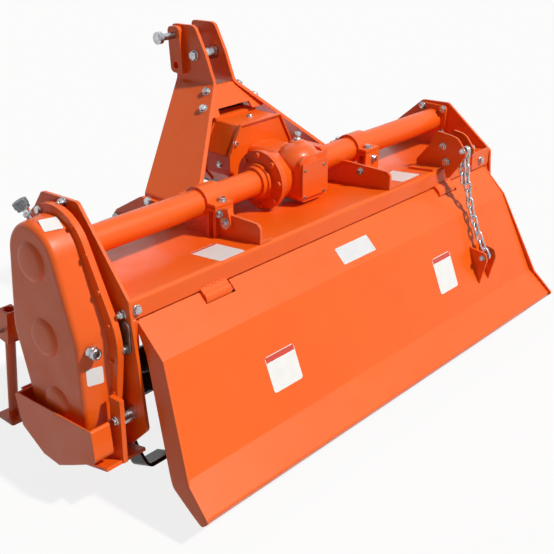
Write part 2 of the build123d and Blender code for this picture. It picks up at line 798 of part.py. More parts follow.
top_pin_head = mast_out + ear_thick + 60      # far end of the pin's head on the left
top_pin_end = mast_out + ear_thick + 30
pin_head = (12, 17)              # thickness and radius of the pin's head
with BuildPart() as top_link_pin:
    for x0, x1, radius in ((-top_pin_head, -top_pin_head + pin_head[0], pin_head[1]),
                           (-top_pin_head, top_pin_end, top_pin_radius)):
        with BuildSketch(yz(x0)):
            with Locations(top_pin):
                Circle(radius)
        extrude(amount=x1 - x0)
keep("top_link_pin", top_link_pin)

# hitch brackets under the mast's feet, with the lower hitch pins
hitch_plate = 12
lower_pin = (540, deck_height - 78)
lower_pin_radius = 11
lower_pin_reach = 52             # bearing length of a lower pin, outside its collar
collar = (8, 18)                 # thickness and radius of that collar
hitch_outline = [
    (hood_front, hood_front_top, 1), (deck_depth, deck(deck_depth), 1), (334, deck_height + 12, 10),
    (440, deck_height + 12, 20), (545, deck_height - 50, 20), (568, deck_height - 76, 20),
    (545, deck_height - 104, 20), (452, deck_height - 160, 20), (hood_front, deck_height - 182, 4),
]
pin_collar = mast_foot + hitch_plate
lower_pin_out = pin_collar + collar[0] + lower_pin_reach
with BuildPart() as hitch_brackets:
    for x in (-mast_foot - hitch_plate, mast_foot):
        add(rounded_plate([(y, z) for y, z, r in hitch_outline], [r for y, z, r in hitch_outline], x, hitch_plate))
    with BuildSketch(yz(-lower_pin_out)):
        with Locations(lower_pin):
            Circle(lower_pin_radius)
    extrude(amount=2 * lower_pin_out, mode=Mode.SUBTRACT)
keep("hitch_brackets", hitch_brackets)

nut = (14, 16)                   # thickness and radius of the nut inside each plate
pin_inside = mast_foot - nut[0]
with BuildPart() as lower_pins:
    for side in (-1, 1):
        for x0, x1, radius in ((pin_inside, lower_pin_out, lower_pin_radius),
                               (pin_collar, pin_collar + collar[0], collar[1]),
                               (pin_inside, mast_foot, nut[1])):
            with BuildSketch(yz(side * x0)):
                with Locations(lower_pin):
                    Circle(radius)
            extrude(amount=side * (x1 - x0))
keep("lower_hitch_pins", lower_pins)

# ---------------------------------------------------------------- skids
sole_in = side_plate_out - 17
sole_width = 110
sole_out = sole_in + sole_width
sole_sheet = 8
sole_drops = [(-6, 101.6), (54, 115.6), (142, 135.6), (200, 131.6), (276, 88.6), (304, 15.6)]
sole_line = [(y, rotor_z - drop) for y, drop in sole_drops]     # underside, below the rotor's axis
bar_in, bar_sheet = sole_in + 54, 12
bar_y, bar_width = 9, 35
bar_top = rotor_z + 57.4
bar_low = rotor_z - 123.6        # inside the sole's bend, trimmed to it
skid_bolt = (bar_y, rotor_z + 2.4)
spacer_radius = 17
lug_drops = [(262, 103.6), (300, -8.4), (284, -20.4), (262, -12.4), (240, 53.6), (236, 111.6)]
lug_outline = [(y, rotor_z - drop) for y, drop in lug_drops]
lug_sheet = side_plate + 4


def skid(side):
    """Skid with its bolted bar at the back and its lug in front; side is -1 left, 1 right."""
    with BuildPart() as part:
        add(folded_sheet(sole_line, 16, sole_sheet, sole_in, sole_out, Side.LEFT))
        with BuildSketch(yz(0)):
            with Locations((320, rotor_z - 23.6)):
                Rectangle(190, 200)
        extrude(amount=side_plate_out + 1, mode=Mode.SUBTRACT)
        with BuildSketch(yz(bar_in)):
            with Locations((bar_y, (bar_top + bar_low) / 2)):
                Rectangle(bar_width, bar_top - bar_low)
        extrude(amount=bar_sheet)
        with BuildSketch(yz(side_plate_out)):
            with BuildLine():
                FilletPolyline(*lug_outline, radius=6, close=True)
            make_face()
        extrude(amount=lug_sheet)
        with BuildSketch(yz(sole_in - 1)):
            with BuildLine():
                Polyline((-40, sole_line[0][1]), *sole_line, (400, sole_line[-1][1]), (400, 0), (-40, 0), close=True)
            make_face()
        extrude(amount=sole_out - sole_in + 2, mode=Mode.SUBTRACT)
        if side < 0:
            mirror(about=Plane.YZ, mode=Mode.REPLACE)
    return part


keep("skid_left", skid(-1))
keep("skid_right", skid(1))

with BuildPart() as skid_spacers:
    for side in (-1, 1):
        with BuildSketch(yz(side * side_plate_out)):
            with Locations(skid_bolt):
                Circle(spacer_radius)
        extrude(amount=side * (bar_in - side_plate_out))
keep("skid_spacers", skid_spacers)

# guard under the gear case: outer plate with a rim that stands on the skid
guard_out = max(case_out, sole_out) + 23
guard_plate = 3
guard_rim = sole_out - 28        # inner edge of the rim, over the skid's sole
guard_drops = [                  # outline (y, below the rotor's axis, corner radius)
    (10, -4.4, 6), (2, 72.6, 20), (93, 119.6, 30), (142, 143.6, 4), (200, 139.6, 4), (276, 95.6, 10),
    (296, 13.6, 8), (275, 10.6, 4),
]
guard_outline = [(y, rotor_z - drop, r) for y, drop, r in guard_drops]
hollow_drops = [                 # circles round the hollow behind the guard's plate
    (40, -16.4, 20), (20, 63.6, 12), (110, 105.6, 12), (190, 115.6, 12), (262, 73.6, 14), (272, -6.4, 10),
]
with BuildPart() as gear_guard:
    add(rounded_plate([(y, z) for y, z, r in guard_outline], [r for y, z, r in guard_outline], -guard_out,
                      guard_out - guard_rim))
    with BuildSketch(yz(-guard_out + guard_plate)):
        add(hull_outline([(y, rotor_z - drop, r) for y, drop, r in hollow_drops]))
    extrude(amount=guard_out, mode=Mode.SUBTRACT)
    add(pieces["skid_left"], mode=Mode.SUBTRACT)
keep("gear_guard", gear_guard)

# ---------------------------------------------------------------- parking stand
stand_x = -side_plate_out - 5
stand_radius = 13
stand_foot_y = 502
stand_lean = 6.87                # degrees, its foot forward
stand_axis = Vector(0, -sin(radians(stand_lean)), cos(radians(stand_lean)))
stand_top = 296                  # length of the leg above the ground, along its axis
socket_from, socket_to = 240, 328
socket_width = 36
foot_plate = 8
clamp_height = 272
clamp_bolt = (52, 6)             # reach from the leg's axis, radius
stand_origin = Vector(stand_x, stand_foot_y, 0)


def stand_plane(height):
    """Plane across the leg at a height along its axis."""
    return Plane(origin=stand_origin + height * stand_axis, x_dir=(1, 0, 0), z_dir=stand_axis)


with BuildPart() as stand_leg:
    with BuildSketch(stand_plane(-10)):
        Circle(stand_radius)
    extrude(amount=stand_top + 10)
    with BuildSketch(Plane.XY.offset(-40)):
        with Locations((stand_x, stand_foot_y)):
            Rectangle(200, 200)
    extrude(amount=40, mode=Mode.SUBTRACT)
    with BuildSketch(Plane.XY):
        with Locations((stand_x, stand_foot_y - 4)):
            RectangleRounded(60, 71, 6)
    extrude(amount=foot_plate)
keep("stand_leg", stand_leg)

with BuildPart() as stand_socket:
    with BuildSketch(stand_plane(socket_from)):
        Rectangle(socket_width, socket_width)
    extrude(amount=socket_to - socket_from)
    with BuildSketch(yz(-side_plate_out - bracket_plate)):
        with BuildLine():
            FilletPolyline((398, 262), (470, 248), (460, 322), (398, 316), radius=6, close=True)
        make_face()
    extrude(amount=bracket_plate)
    add(pieces["side_plate_left"], mode=Mode.SUBTRACT)
    with BuildSketch(stand_plane(socket_from - 60)):
        Circle(stand_radius + running_gap)
    extrude(amount=300, mode=Mode.SUBTRACT)
keep("stand_socket", stand_socket)

with BuildPart() as stand_bolt:
    with BuildSketch(yz(stand_x - stand_radius - running_gap)):
        with Locations((stand_foot_y - clamp_height * sin(radians(stand_lean)), clamp_height)):
            Circle(clamp_bolt[1])
    extrude(amount=-(clamp_bolt[0] - stand_radius))
    add(stand_socket.part, mode=Mode.SUBTRACT)
keep("stand_clamp_bolt", stand_bolt)

# ---------------------------------------------------------------- rotor
stub_radius = 22
rotor_end = inside_half_width - rotor_gap
end_plate = (8, 60)              # thickness and radius
flange_plate = 8
rotor_flange_radius = 92
flange_inset = 42                # last flange from the side plate
flange_pitch = 2 * (inside_half_width - flange_inset) / 7
flange_xs = [flange_pitch * (number + 0.5) for number in range(4)]
stub_reach = side_plate_out + bearing_flange[0]
with BuildPart() as rotor_shaft:
    rotor_table = [(0, rotor_end, rotor_tube_radius), (rotor_end - end_plate[0], rotor_end, end_plate[1]),
                   (rotor_end, stub_reach, stub_radius)]
    rotor_table += [(x - flange_plate / 2, x + flange_plate / 2, rotor_flange_radius) for x in flange_xs]
    for x0, x1, radius in rotor_table:
        with BuildSketch(yz(x0)):
            with Locations((rotor_y, rotor_z)):
                Circle(radius)
        extrude(amount=x1 - x0)
    mirror(about=Plane.YZ)
keep("rotor_shaft", rotor_shaft)

with BuildPart() as rotor_bearings:
    for side in (-1, 1):
        for x0, x1, radius in ((side_plate_out, stub_reach, bearing_flange[1]),
                               (inside_half_width - 4, side_plate_out, hub_radius)):
            with BuildSketch(yz(side * x0)):
                with Locations((rotor_y, rotor_z)):
                    Circle(radius)
                    Circle(stub_radius + running_gap, mode=Mode.SUBTRACT)
            extrude(amount=side * (x1 - x0))
    with BuildSketch(yz(stub_reach + running_gap)):
        with Locations((rotor_y, rotor_z)):
            Circle(stub_radius + 22)
    extrude(amount=12)
    with BuildSketch(yz(stub_reach)):
        with Locations((rotor_y, rotor_z)):
            Circle(stub_radius + 22)
            Circle(stub_radius + running_gap, mode=Mode.SUBTRACT)
    extrude(amount=1)
keep("rotor_bearings", rotor_bearings)

# tines: flat shank on the flange, curving forward into a foot turned along the rotor
shank_sheet = 8
foot_reach = 80
tip_lead = 50                    # leading corner ahead of the shank's radius
foot_face = sqrt(tip_radius ** 2 - tip_lead ** 2)
tine_root = 56
with BuildPart() as tine:
    with BuildSketch(Plane.XZ.offset(-200)):
        with BuildLine():
            FilletPolyline((0, -tine_root), (0, -foot_face), (foot_reach, -foot_face), radius=14)
            offset(amount=shank_sheet, side=Side.LEFT)
        make_face()
    extrude(amount=400)
    with BuildSketch(yz(-1)):
        with BuildLine():
            Line((-18, -tine_root), (-18, -120))
            ThreePointArc((-18, -120), (-26, -175), (-tip_lead, -foot_face))
            Line((-tip_lead, -foot_face), (14, -foot_face))
            ThreePointArc((14, -foot_face), (22, -160), (18, -110))
            Polyline((18, -110), (18, -tine_root), (-18, -tine_root))
        make_face()
    extrude(amount=foot_reach + 2, mode=Mode.INTERSECT)

flange_table = []                # x of a flange, hand of its tines (0 both), lead of the first one
phase_leads = [11.25, -11.25, 33.75, -33.75]
for pair, x in enumerate(flange_xs):
    for side in (-1, 1):
        flange_table.append((side * x, -side if x == flange_xs[-1] else 0, phase_leads[pair]))
tip_angle = degrees(atan2(tip_lead, foot_face))
right_places, left_places = [], []
for x, hand, lead in flange_table:
    for quarter in range(tines_per_flange):
        turn = lead + tip_angle + quarter * 360 / tines_per_flange
        to_right = hand > 0 if hand else quarter % 2 == 0
        places = right_places if to_right else left_places
        offset_x = flange_plate / 2 if to_right else -flange_plate / 2
        places.append(Location((x + offset_x, rotor_y, rotor_z), (turn, 0, 0)))
with BuildPart() as tine_mirrored:
    mirror(tine.part, about=Plane.YZ)
with BuildPart() as rotor_tines:
    with Locations(*right_places):
        add(tine.part)
    with Locations(*left_places):
        add(tine_mirrored.part)
keep("rotor_tines", rotor_tines)

# ---------------------------------------------------------------- place and write
boxes = [piece.bounding_box() for piece in pieces.values()]
middle_x = (min(box.min.X for box in boxes) + max(box.max.X for box in boxes)) / 2
middle_y = (min(box.min.Y for box in boxes) + max(box.max.Y for box in boxes)) / 2
floor = min(box.min.Z for box in boxes)
origin_shift = Location((-middle_x, -middle_y, -floor))
for name, piece in pieces.items():
    placed = piece.moved(origin_shift)
    placed.label = name
    export_step(placed, f"parts/{name}.step")
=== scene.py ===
"""Dresses a tractor-mounted rotary tiller: finishes, fasteners, labels, chain, light and camera.

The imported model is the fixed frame. Sizes are written in millimetres about the machine's own datum
(centreline, the deck's rear fold, ground) and become metres of the row frame in Datum.at.
"""

import json
import logging
import math
from dataclasses import dataclass
from enum import Enum
from itertools import product
from typing import Callable, Sequence

import bmesh
import bpy
from mathutils import Matrix, Vector
from mathutils.bvhtree import BVHTree

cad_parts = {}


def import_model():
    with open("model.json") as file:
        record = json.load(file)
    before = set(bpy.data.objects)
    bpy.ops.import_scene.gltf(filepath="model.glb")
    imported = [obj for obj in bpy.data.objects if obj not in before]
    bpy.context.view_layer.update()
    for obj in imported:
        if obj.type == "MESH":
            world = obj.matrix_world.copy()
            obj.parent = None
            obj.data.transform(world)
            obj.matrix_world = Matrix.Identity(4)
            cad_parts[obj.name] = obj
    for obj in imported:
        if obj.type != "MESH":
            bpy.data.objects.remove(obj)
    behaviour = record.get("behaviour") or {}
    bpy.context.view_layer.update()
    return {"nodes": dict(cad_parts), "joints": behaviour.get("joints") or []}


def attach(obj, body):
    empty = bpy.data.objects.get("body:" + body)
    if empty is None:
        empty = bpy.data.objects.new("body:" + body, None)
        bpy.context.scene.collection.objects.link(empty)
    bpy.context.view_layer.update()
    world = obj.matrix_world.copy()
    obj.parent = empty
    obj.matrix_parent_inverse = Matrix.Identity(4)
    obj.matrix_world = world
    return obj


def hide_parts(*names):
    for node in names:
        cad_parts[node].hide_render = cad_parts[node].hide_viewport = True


logging.basicConfig(level=logging.INFO, format="%(name)s: %(message)s")
log = logging.getLogger("tiller")

MM = 0.001
Pair = tuple[float, float]
Triple = tuple[float, float, float]
Colour = Triple
Socket = bpy.types.NodeSocket


class Side(Enum):
    """Which way a fastener or label faces, as the direction out of its surface."""

    LEFT = (-1.0, 0.0, 0.0)
    RIGHT = (1.0, 0.0, 0.0)
    REAR = (0.0, -1.0, 0.0)
    FRONT = (0.0, 1.0, 0.0)
    UP = (0.0, 0.0, 1.0)

    @property
    def out(self) -> Vector:
        """The direction as a vector."""
        return Vector(self.value)


class Grain(Enum):
    """Surface texture of a coated part: noise scale per metre and bump strength."""

    SHEET = (420.0, 0.035)
    CASTING = (210.0, 0.16)
    FORGED = (120.0, 0.22)


@dataclass(frozen=True)
class Datum:
    """Machine datum in the row frame, read from the joints."""

    x: float
    y: float
    hinge_behind: float = 4.5

    @classmethod
    def from_joints(cls, joints: list[dict]) -> "Datum":
        """Find the datum from the rotor's and the tailgate's axes.

        Args:
            joints: the frame's joints.
        Returns:
            The datum.
        """
        places = {joint["name"]: joint.get("pos_m") for joint in joints}
        rotor, gate = places["rotor_spin"], places["tailgate_hinge"]
        return cls(rotor[0], gate[1] + cls.hinge_behind * MM)

    def at(self, x: float, y: float, z: float) -> Vector:
        """Row-frame point in metres of a machine point in millimetres."""
        return Vector((self.x + x * MM, self.y + y * MM, z * MM))


# ------------------------------------------------------------------------------------------ finishes
class Shader:
    """Node material in the making, with short calls for the nodes that the finishes share."""

    def __init__(self, name: str) -> None:
        """Start an empty Principled material.

        Args:
            name: the material's name.
        """
        self.material = bpy.data.materials.new(name)
        self.material.use_nodes = True
        self.nodes = self.material.node_tree.nodes
        self.links = self.material.node_tree.links
        self.surface = self.nodes["Principled BSDF"]
        self.place = self.nodes.new("ShaderNodeTexCoord").outputs["Object"]

    def add(self, kind: str, **values: object) -> bpy.types.Node:
        """Add a node.

        Args:
            kind: its type without the common start.
            values: plain values of its inputs, named with underscores for spaces.
        Returns:
            The node.
        """
        node = self.nodes.new(f"ShaderNode{kind}")
        self.fill(node, values)
        return node

    @staticmethod
    def fill(node: bpy.types.Node, values: dict[str, object]) -> None:
        """Set plain values on a node's inputs, named with underscores for spaces."""
        for key, value in values.items():
            node.inputs[key.replace("_", " ")].default_value = value

    def set(self, **values: object) -> None:
        """Set plain values on the surface's inputs."""
        self.fill(self.surface, values)

    def feed(self, output: Socket, name: str) -> None:
        """Link an output to one of the surface's inputs."""
        self.links.new(output, self.surface.inputs[name])

    def noise(self, scale: float, detail: float = 3.0, rough: float = 0.5,
              stretch: Triple = (1, 1, 1)) -> Socket:
        """Noise on Object coordinates.

        Args:
            scale: features per metre.
            detail: octaves.
            rough: weight of the finer octaves.
            stretch: scale along each axis, for brushed or run marks.
        Returns:
            The noise's value output.
        """
        node = self.add("TexNoise", Scale=scale, Detail=detail, Roughness=rough)
        place = self.place
        if stretch != (1, 1, 1):
            mapping = self.add("Mapping", Scale=stretch)
            self.links.new(place, mapping.inputs["Vector"])
            place = mapping.outputs[0]
        self.links.new(place, node.inputs["Vector"])
        return node.outputs[0]

    def spread(self, value: Socket, low: float, high: float, to_low: float, to_high: float) -> Socket:
        """Map a value from one range to another, clamped.

        Args:
            value: the value's output.
            low: lower end of its range.
            high: upper end of its range.
            to_low: what the lower end becomes.
            to_high: what the upper end becomes.
        Returns:
            The mapped value's output.
        """
        node = self.add("MapRange", From_Min=low, From_Max=high, To_Min=to_low, To_Max=to_high)
        self.links.new(value, node.inputs["Value"])
        return node.outputs[0]

    def blend(self, factor: Socket, first: Colour | Socket, second: Colour | Socket) -> Socket:
        """Mix two colours.

        Args:
            factor: how much of the second colour shows.
            first: a colour or a colour's output.
            second: a colour or a colour's output.
        Returns:
            The mixed colour's output.
        """
        node = self.add("Mix")
        node.data_type = "RGBA"
        self.links.new(factor, node.inputs[0])
        for socket, value in ((node.inputs[6], first), (node.inputs[7], second)):
            if isinstance(value, tuple):
                socket.default_value = (*value, 1.0)
            else:
                self.links.new(value, socket)
        return node.outputs[2]

    def times(self, first: Socket, second: Socket) -> Socket:
        """Product of two values.

        Args:
            first: the first value's output.
            second: the second value's output.
        Returns:
            The product's output.
        """
        node = self.add("Math")
        node.operation = "MULTIPLY"
        self.links.new(first, node.inputs[0])
        self.links.new(second, node.inputs[1])
        return node.outputs[0]

    def soft_edges(self, radius: float) -> Socket:
        """Normal rounded over sharp edges.

        Args:
            radius: how far the rounding reaches, in metres.
        Returns:
            The normal's output.
        """
        node = self.add("Bevel", Radius=radius)
        node.samples = 4
        return node.outputs["Normal"]

    def edge_mask(self, soft_normal: Socket, start: float = 0.985, full: float = 0.80) -> Socket:
        """Value that is 1 along sharp edges and 0 on flats.

        Args:
            soft_normal: the normal rounded over the edges.
            start: agreement with the true normal below which the mask starts.
            full: agreement below which it is 1.
        Returns:
            The value's output.
        """
        geometry, dot = self.add("NewGeometry"), self.add("VectorMath")
        dot.operation = "DOT_PRODUCT"
        self.links.new(soft_normal, dot.inputs[0])
        self.links.new(geometry.outputs["Normal"], dot.inputs[1])
        return self.spread(dot.outputs["Value"], full, start, 1.0, 0.0)

    def relief(self, height: Socket, strength: float, distance: float, base: Socket | None = None) -> None:
        """Bump the surface.

        Args:
            height: the height's output.
            strength: share of the bump that shows.
            distance: depth of the bump in metres.
            base: the normal under the bump, the true one where none is given.
        """
        node = self.add("Bump", Strength=strength, Distance=distance)
        self.links.new(height, node.inputs["Height"])
        if base is not None:
            self.links.new(base, node.inputs["Normal"])
        self.feed(node.outputs[0], "Normal")


@dataclass(frozen=True)
class Coating:
    """Paint or powder coat: clear top layer, slight cloudiness, thin paler edges that are part wear and
    part painted highlight.
    """

    name: str
    colour: Colour
    shade: Colour
    # Paler edge colour: part wear, part painted highlight.
    rubbed: Colour
    roughness: float = 0.42
    clear: float = 0.20
    grain: Grain = Grain.SHEET
    edge: float = 1.4

    def build(self) -> bpy.types.Material:
        """Make the node material.

        Returns:
            The material.
        """
        shader, (scale, strength) = Shader(self.name), self.grain.value
        cloud = shader.spread(shader.noise(4.5, 4.0, 0.55), 0.35, 0.68, 0.0, 0.55)
        tinted = shader.blend(cloud, self.colour, self.shade)
        soft = shader.soft_edges(self.edge * MM)
        # Paler colour along sharp edges, broken up by noise: part wear from rubbing, part a painted
        # highlight of edges catching the light.
        edge_breakup = shader.spread(shader.noise(95.0, 5.0, 0.65), 0.42, 0.62, 0.25, 1.0)
        edge_wear_and_highlight = shader.times(shader.edge_mask(soft), edge_breakup)
        shader.feed(shader.blend(edge_wear_and_highlight, tinted, self.rubbed), "Base Color")
        low, high = self.roughness - 0.06, self.roughness + 0.08
        shader.feed(shader.spread(shader.noise(16.0), 0.3, 0.7, low, high), "Roughness")
        shader.relief(shader.noise(scale), strength, 0.0012, soft)
        shader.set(Coat_Weight=self.clear, Coat_Roughness=0.10, Specular_IOR_Level=0.36)
        return shader.material


@dataclass(frozen=True)
class Metal:
    """Bare or plated metal with a drifting tone, fine scratches and brighter edges."""

    name: str
    colour: Colour
    tone: Colour
    roughness: float = 0.3
    brushed: Triple = (1, 1, 1)
    scratch: float = 0.10
    edge: float = 0.6

    def build(self) -> bpy.types.Material:
        """Make the node material.

        Returns:
            The material.
        """
        shader = Shader(self.name)
        drift = shader.spread(shader.noise(60.0, 4.0, 0.6), 0.35, 0.65, 0.0, 1.0)
        soft = shader.soft_edges(self.edge * MM)
        body = shader.blend(drift, self.colour, self.tone)
        bright = tuple(min(1.0, c * 1.25) for c in self.colour)
        shader.feed(shader.blend(shader.edge_mask(soft), body, bright), "Base Color")
        low, high = self.roughness - 0.10, self.roughness + 0.14
        streaks = shader.noise(140.0, 4.0, 0.6, self.brushed)
        shader.feed(shader.spread(streaks, 0.3, 0.7, low, high), "Roughness")
        shader.relief(shader.noise(700.0, 3.0, 0.6, self.brushed), self.scratch, 0.0006, soft)
        shader.set(Metallic=1.0)
        return shader.material


@dataclass(frozen=True)
class Film:
    """Printed label film: smooth, faintly mottled, thin clear layer."""

    name: str
    colour: Colour
    roughness: float = 0.32

    def build(self) -> bpy.types.Material:
        """Make the node material.

        Returns:
            The material.
        """
        shader = Shader(self.name)
        aged = tuple(c * 0.93 for c in self.colour)
        mottle = shader.spread(shader.noise(38.0, 4.0, 0.6), 0.4, 0.7, 0.0, 0.8)
        shader.feed(shader.blend(mottle, self.colour, aged), "Base Color")
        shader.relief(shader.noise(260.0, 2.0), 0.05, 0.0004)
        shader.set(Roughness=self.roughness, Coat_Weight=0.3, Coat_Roughness=0.12)
        return shader.material


@dataclass(frozen=True)
class Glass:
    """Dark oil-level window, nearly black with a deep amber cast."""

    name: str
    colour: Colour = (0.02, 0.012, 0.006)
    amber: Colour = (0.045, 0.026, 0.01)

    def build(self) -> bpy.types.Material:
        """Make the node material.

        Returns:
            The material.
        """
        shader = Shader(self.name)
        swirl = shader.spread(shader.noise(180.0, 2.0), 0.4, 0.6, 0.0, 1.0)
        shader.feed(shader.blend(swirl, self.colour, self.amber), "Base Color")
        shader.set(Roughness=0.06, Coat_Weight=1.0, Coat_Roughness=0.03)
        return shader.material


class Palette:
    """Every finish of the machine, built once and handed out by name."""

    finishes = (
        # The third colour of each coating is its paler edge colour, part wear and part painted highlight.
        Coating("orange_sheet", (0.88, 0.122, 0.004), (0.84, 0.102, 0.003), (1.0, 0.31, 0.11)),
        Coating("orange_casting", (0.87, 0.115, 0.004), (0.79, 0.090, 0.003), (1.0, 0.28, 0.08), 0.40, 0.25,
                Grain.CASTING, 2.0),
        Coating("rotor_black", (0.018, 0.018, 0.019), (0.03, 0.027, 0.024), (0.16, 0.15, 0.14), 0.42, 0.25,
                Grain.FORGED, 1.5),
        Metal("zinc_plate", (0.58, 0.59, 0.61), (0.27, 0.28, 0.30), 0.22),
        Metal("zinc_chain", (0.66, 0.67, 0.68), (0.34, 0.35, 0.38), 0.22),
        Metal("turned_steel", (0.46, 0.45, 0.44), (0.30, 0.30, 0.30), 0.3, (1, 14, 1)),
        Metal("dull_disc", (0.24, 0.23, 0.21), (0.12, 0.11, 0.10), 0.42),
        Metal("dark_steel", (0.20, 0.21, 0.22), (0.10, 0.105, 0.115), 0.30),
        Film("label_white", (0.84, 0.84, 0.82)),
        Film("label_red", (0.62, 0.05, 0.025)),
        Film("plate_silver", (0.72, 0.73, 0.74), 0.26),
        Glass("oil_window"),
    )

    def __init__(self) -> None:
        """Build the materials."""
        self.materials = {finish.name: finish.build() for finish in self.finishes}

    def coat(self, piece: bpy.types.Object, *names: str) -> None:
        """Give a piece its finishes.

        Args:
            piece: the piece.
            names: the finishes of its material slots in turn.
        """
        piece.data.materials.clear()
        for name in names:
            piece.data.materials.append(self.materials[name])


# ------------------------------------------------------------------------------------------ the bench
class Editing:
    """Edit mode on one piece: parts are chosen by a test, then shaped; moves are in millimetres."""

    def __init__(self, piece: bpy.types.Object) -> None:
        """Remember the piece."""
        self.piece = piece

    def __enter__(self) -> "Editing":
        """Select the piece alone and enter edit mode with nothing chosen.

        Returns:
            This editing.
        """
        Bench.only(self.piece)
        bpy.ops.object.mode_set(mode="EDIT")
        bpy.ops.mesh.select_all(action="DESELECT")
        return self

    def __exit__(self, *_: object) -> None:
        """Go back to object mode."""
        bpy.ops.object.mode_set(mode="OBJECT")

    def _choose(self, kind: str, items: str, test: Callable) -> None:
        """Select the mesh items that pass a test.

        Args:
            kind: the select mode.
            items: the mesh's list of them.
            test: says whether one is chosen.
        """
        bpy.ops.mesh.select_mode(type=kind)
        bpy.ops.mesh.select_all(action="DESELECT")
        mesh = bmesh.from_edit_mesh(self.piece.data)
        for item in getattr(mesh, items):
            if test(item):
                item.select_set(True)
        mesh.select_flush_mode()
        bmesh.update_edit_mesh(self.piece.data)

    def faces(self, test: Callable) -> None:
        """Choose faces by a test of each face."""
        self._choose("FACE", "faces", test)

    def edges(self, test: Callable) -> None:
        """Choose edges by a test of each edge."""
        self._choose("EDGE", "edges", test)

    def points(self, test: Callable) -> None:
        """Choose vertices by a test of each vertex."""
        self._choose("VERT", "verts", test)

    def all(self) -> None:
        """Choose the whole mesh."""
        bpy.ops.mesh.select_all(action="SELECT")

    def move(self, y: float = 0.0, z: float = 0.0) -> None:
        """Move what is chosen."""
        bpy.ops.transform.translate(value=(0, y * MM, z * MM))

    def extrude(self, y: float = 0.0, z: float = 0.0) -> None:
        """Extrude what is chosen."""
        bpy.ops.mesh.extrude_region_move(TRANSFORM_OT_translate={"value": (0, y * MM, z * MM)})

    def resize(self, x: float, y: float, z: float = 1.0, level: float = 0.0) -> None:
        """Scale what is chosen about a level on Z."""
        bpy.ops.transform.resize(value=(x, y, z), center_override=(0, 0, level * MM))

    def tidy(self) -> None:
        """Merge doubles and turn every face outwards."""
        self.all()
        bpy.ops.mesh.remove_doubles(threshold=1e-6)
        bpy.ops.mesh.normals_make_consistent(inside=False)


class Bench:
    """Operations by hand that the pieces share."""

    @staticmethod
    def only(piece: bpy.types.Object) -> None:
        """Make one piece the whole selection and the active object."""
        bpy.ops.object.select_all(action="DESELECT")
        piece.select_set(True)
        bpy.context.view_layer.objects.active = piece

    @staticmethod
    def start(kind: str, location: Triple = (0, 0, 0), **sizes: object) -> bpy.types.Object:
        """Add one primitive alone, with its place and turn in its mesh.

        Args:
            kind: the primitive's name in bpy.ops.mesh.
            location: its middle in metres.
            sizes: the operator's own values.
        Returns:
            The new object.
        """
        bpy.ops.object.select_all(action="DESELECT")
        getattr(bpy.ops.mesh, f"primitive_{kind}_add")(location=location, **sizes)
        bpy.ops.object.transform_apply(location=True, rotation=True, scale=True)
        return bpy.context.object

    @staticmethod
    def stack(name: str, sides: int, rings: Sequence[Pair]) -> bpy.types.Object:
        """Solid of rings on Z: a filled circle extruded and resized ring by ring.

        Args:
            name: the piece's name.
            sides: corners of each ring.
            rings: (radius, height) in millimetres, from the bottom up.
        Returns:
            The piece, at the origin.
        """
        radius, height = rings[0]
        piece = Bench.start("circle", (0, 0, height * MM), vertices=sides, radius=radius * MM,
                            fill_type="NGON")
        piece.name = name
        with Editing(piece) as edit:
            edit.all()
            for next_radius, next_height in rings[1:]:
                edit.extrude(z=next_height - height)
                edit.resize(next_radius / radius, next_radius / radius, level=next_height)
                radius, height = next_radius, next_height
            edit.tidy()
        return piece

    @staticmethod
    def slab(size: Pair, corner: float, rounds: int, thick: float) -> bpy.types.Object:
        """Plate with round corners that lies on the origin.

        Args:
            size: width and height in millimetres.
            corner: radius of the corners in millimetres.
            rounds: segments of each corner.
            thick: thickness in millimetres.
        Returns:
            The plate.
        """
        piece = Bench.start("plane", size=1.0)
        with Editing(piece) as edit:
            edit.all()
            edit.resize(size[0] * MM, size[1] * MM)
            bpy.ops.mesh.bevel(offset=corner * MM, segments=rounds, affect="VERTICES")
            edit.all()
            edit.extrude(z=thick)
            edit.tidy()
        return piece

    @staticmethod
    def smooth(piece: bpy.types.Object, angle: float = 32.0) -> None:
        """Shade smooth below an angle in degrees."""
        Bench.only(piece)
        bpy.ops.object.shade_smooth_by_angle(angle=math.radians(angle))

    @staticmethod
    def join(name: str, parts: list[bpy.types.Object]) -> bpy.types.Object:
        """Join parts into one piece at the origin.

        Args:
            name: the piece's name.
            parts: the parts, used up.
        Returns:
            The piece.
        """
        Bench.only(parts[0])
        for part in parts:
            part.select_set(True)
        if len(parts) > 1:
            bpy.ops.object.join()
        piece = bpy.context.object
        piece.name = name
        return piece

    @staticmethod
    def copies(name: str, model: bpy.types.Object, places: list[Matrix]) -> bpy.types.Object:
        """Copy a modelled piece to several places and join the copies.

        Args:
            name: the joined piece's name.
            model: the piece at the origin, which stays.
            places: one matrix for each copy.
        Returns:
            The joined piece.
        """
        parts = []
        for number, place in enumerate(places):
            part = bpy.data.objects.new(f"{name}_{number}", model.data.copy())
            bpy.context.scene.collection.objects.link(part)
            part.data.transform(place)
            parts.append(part)
        return Bench.join(name, parts)


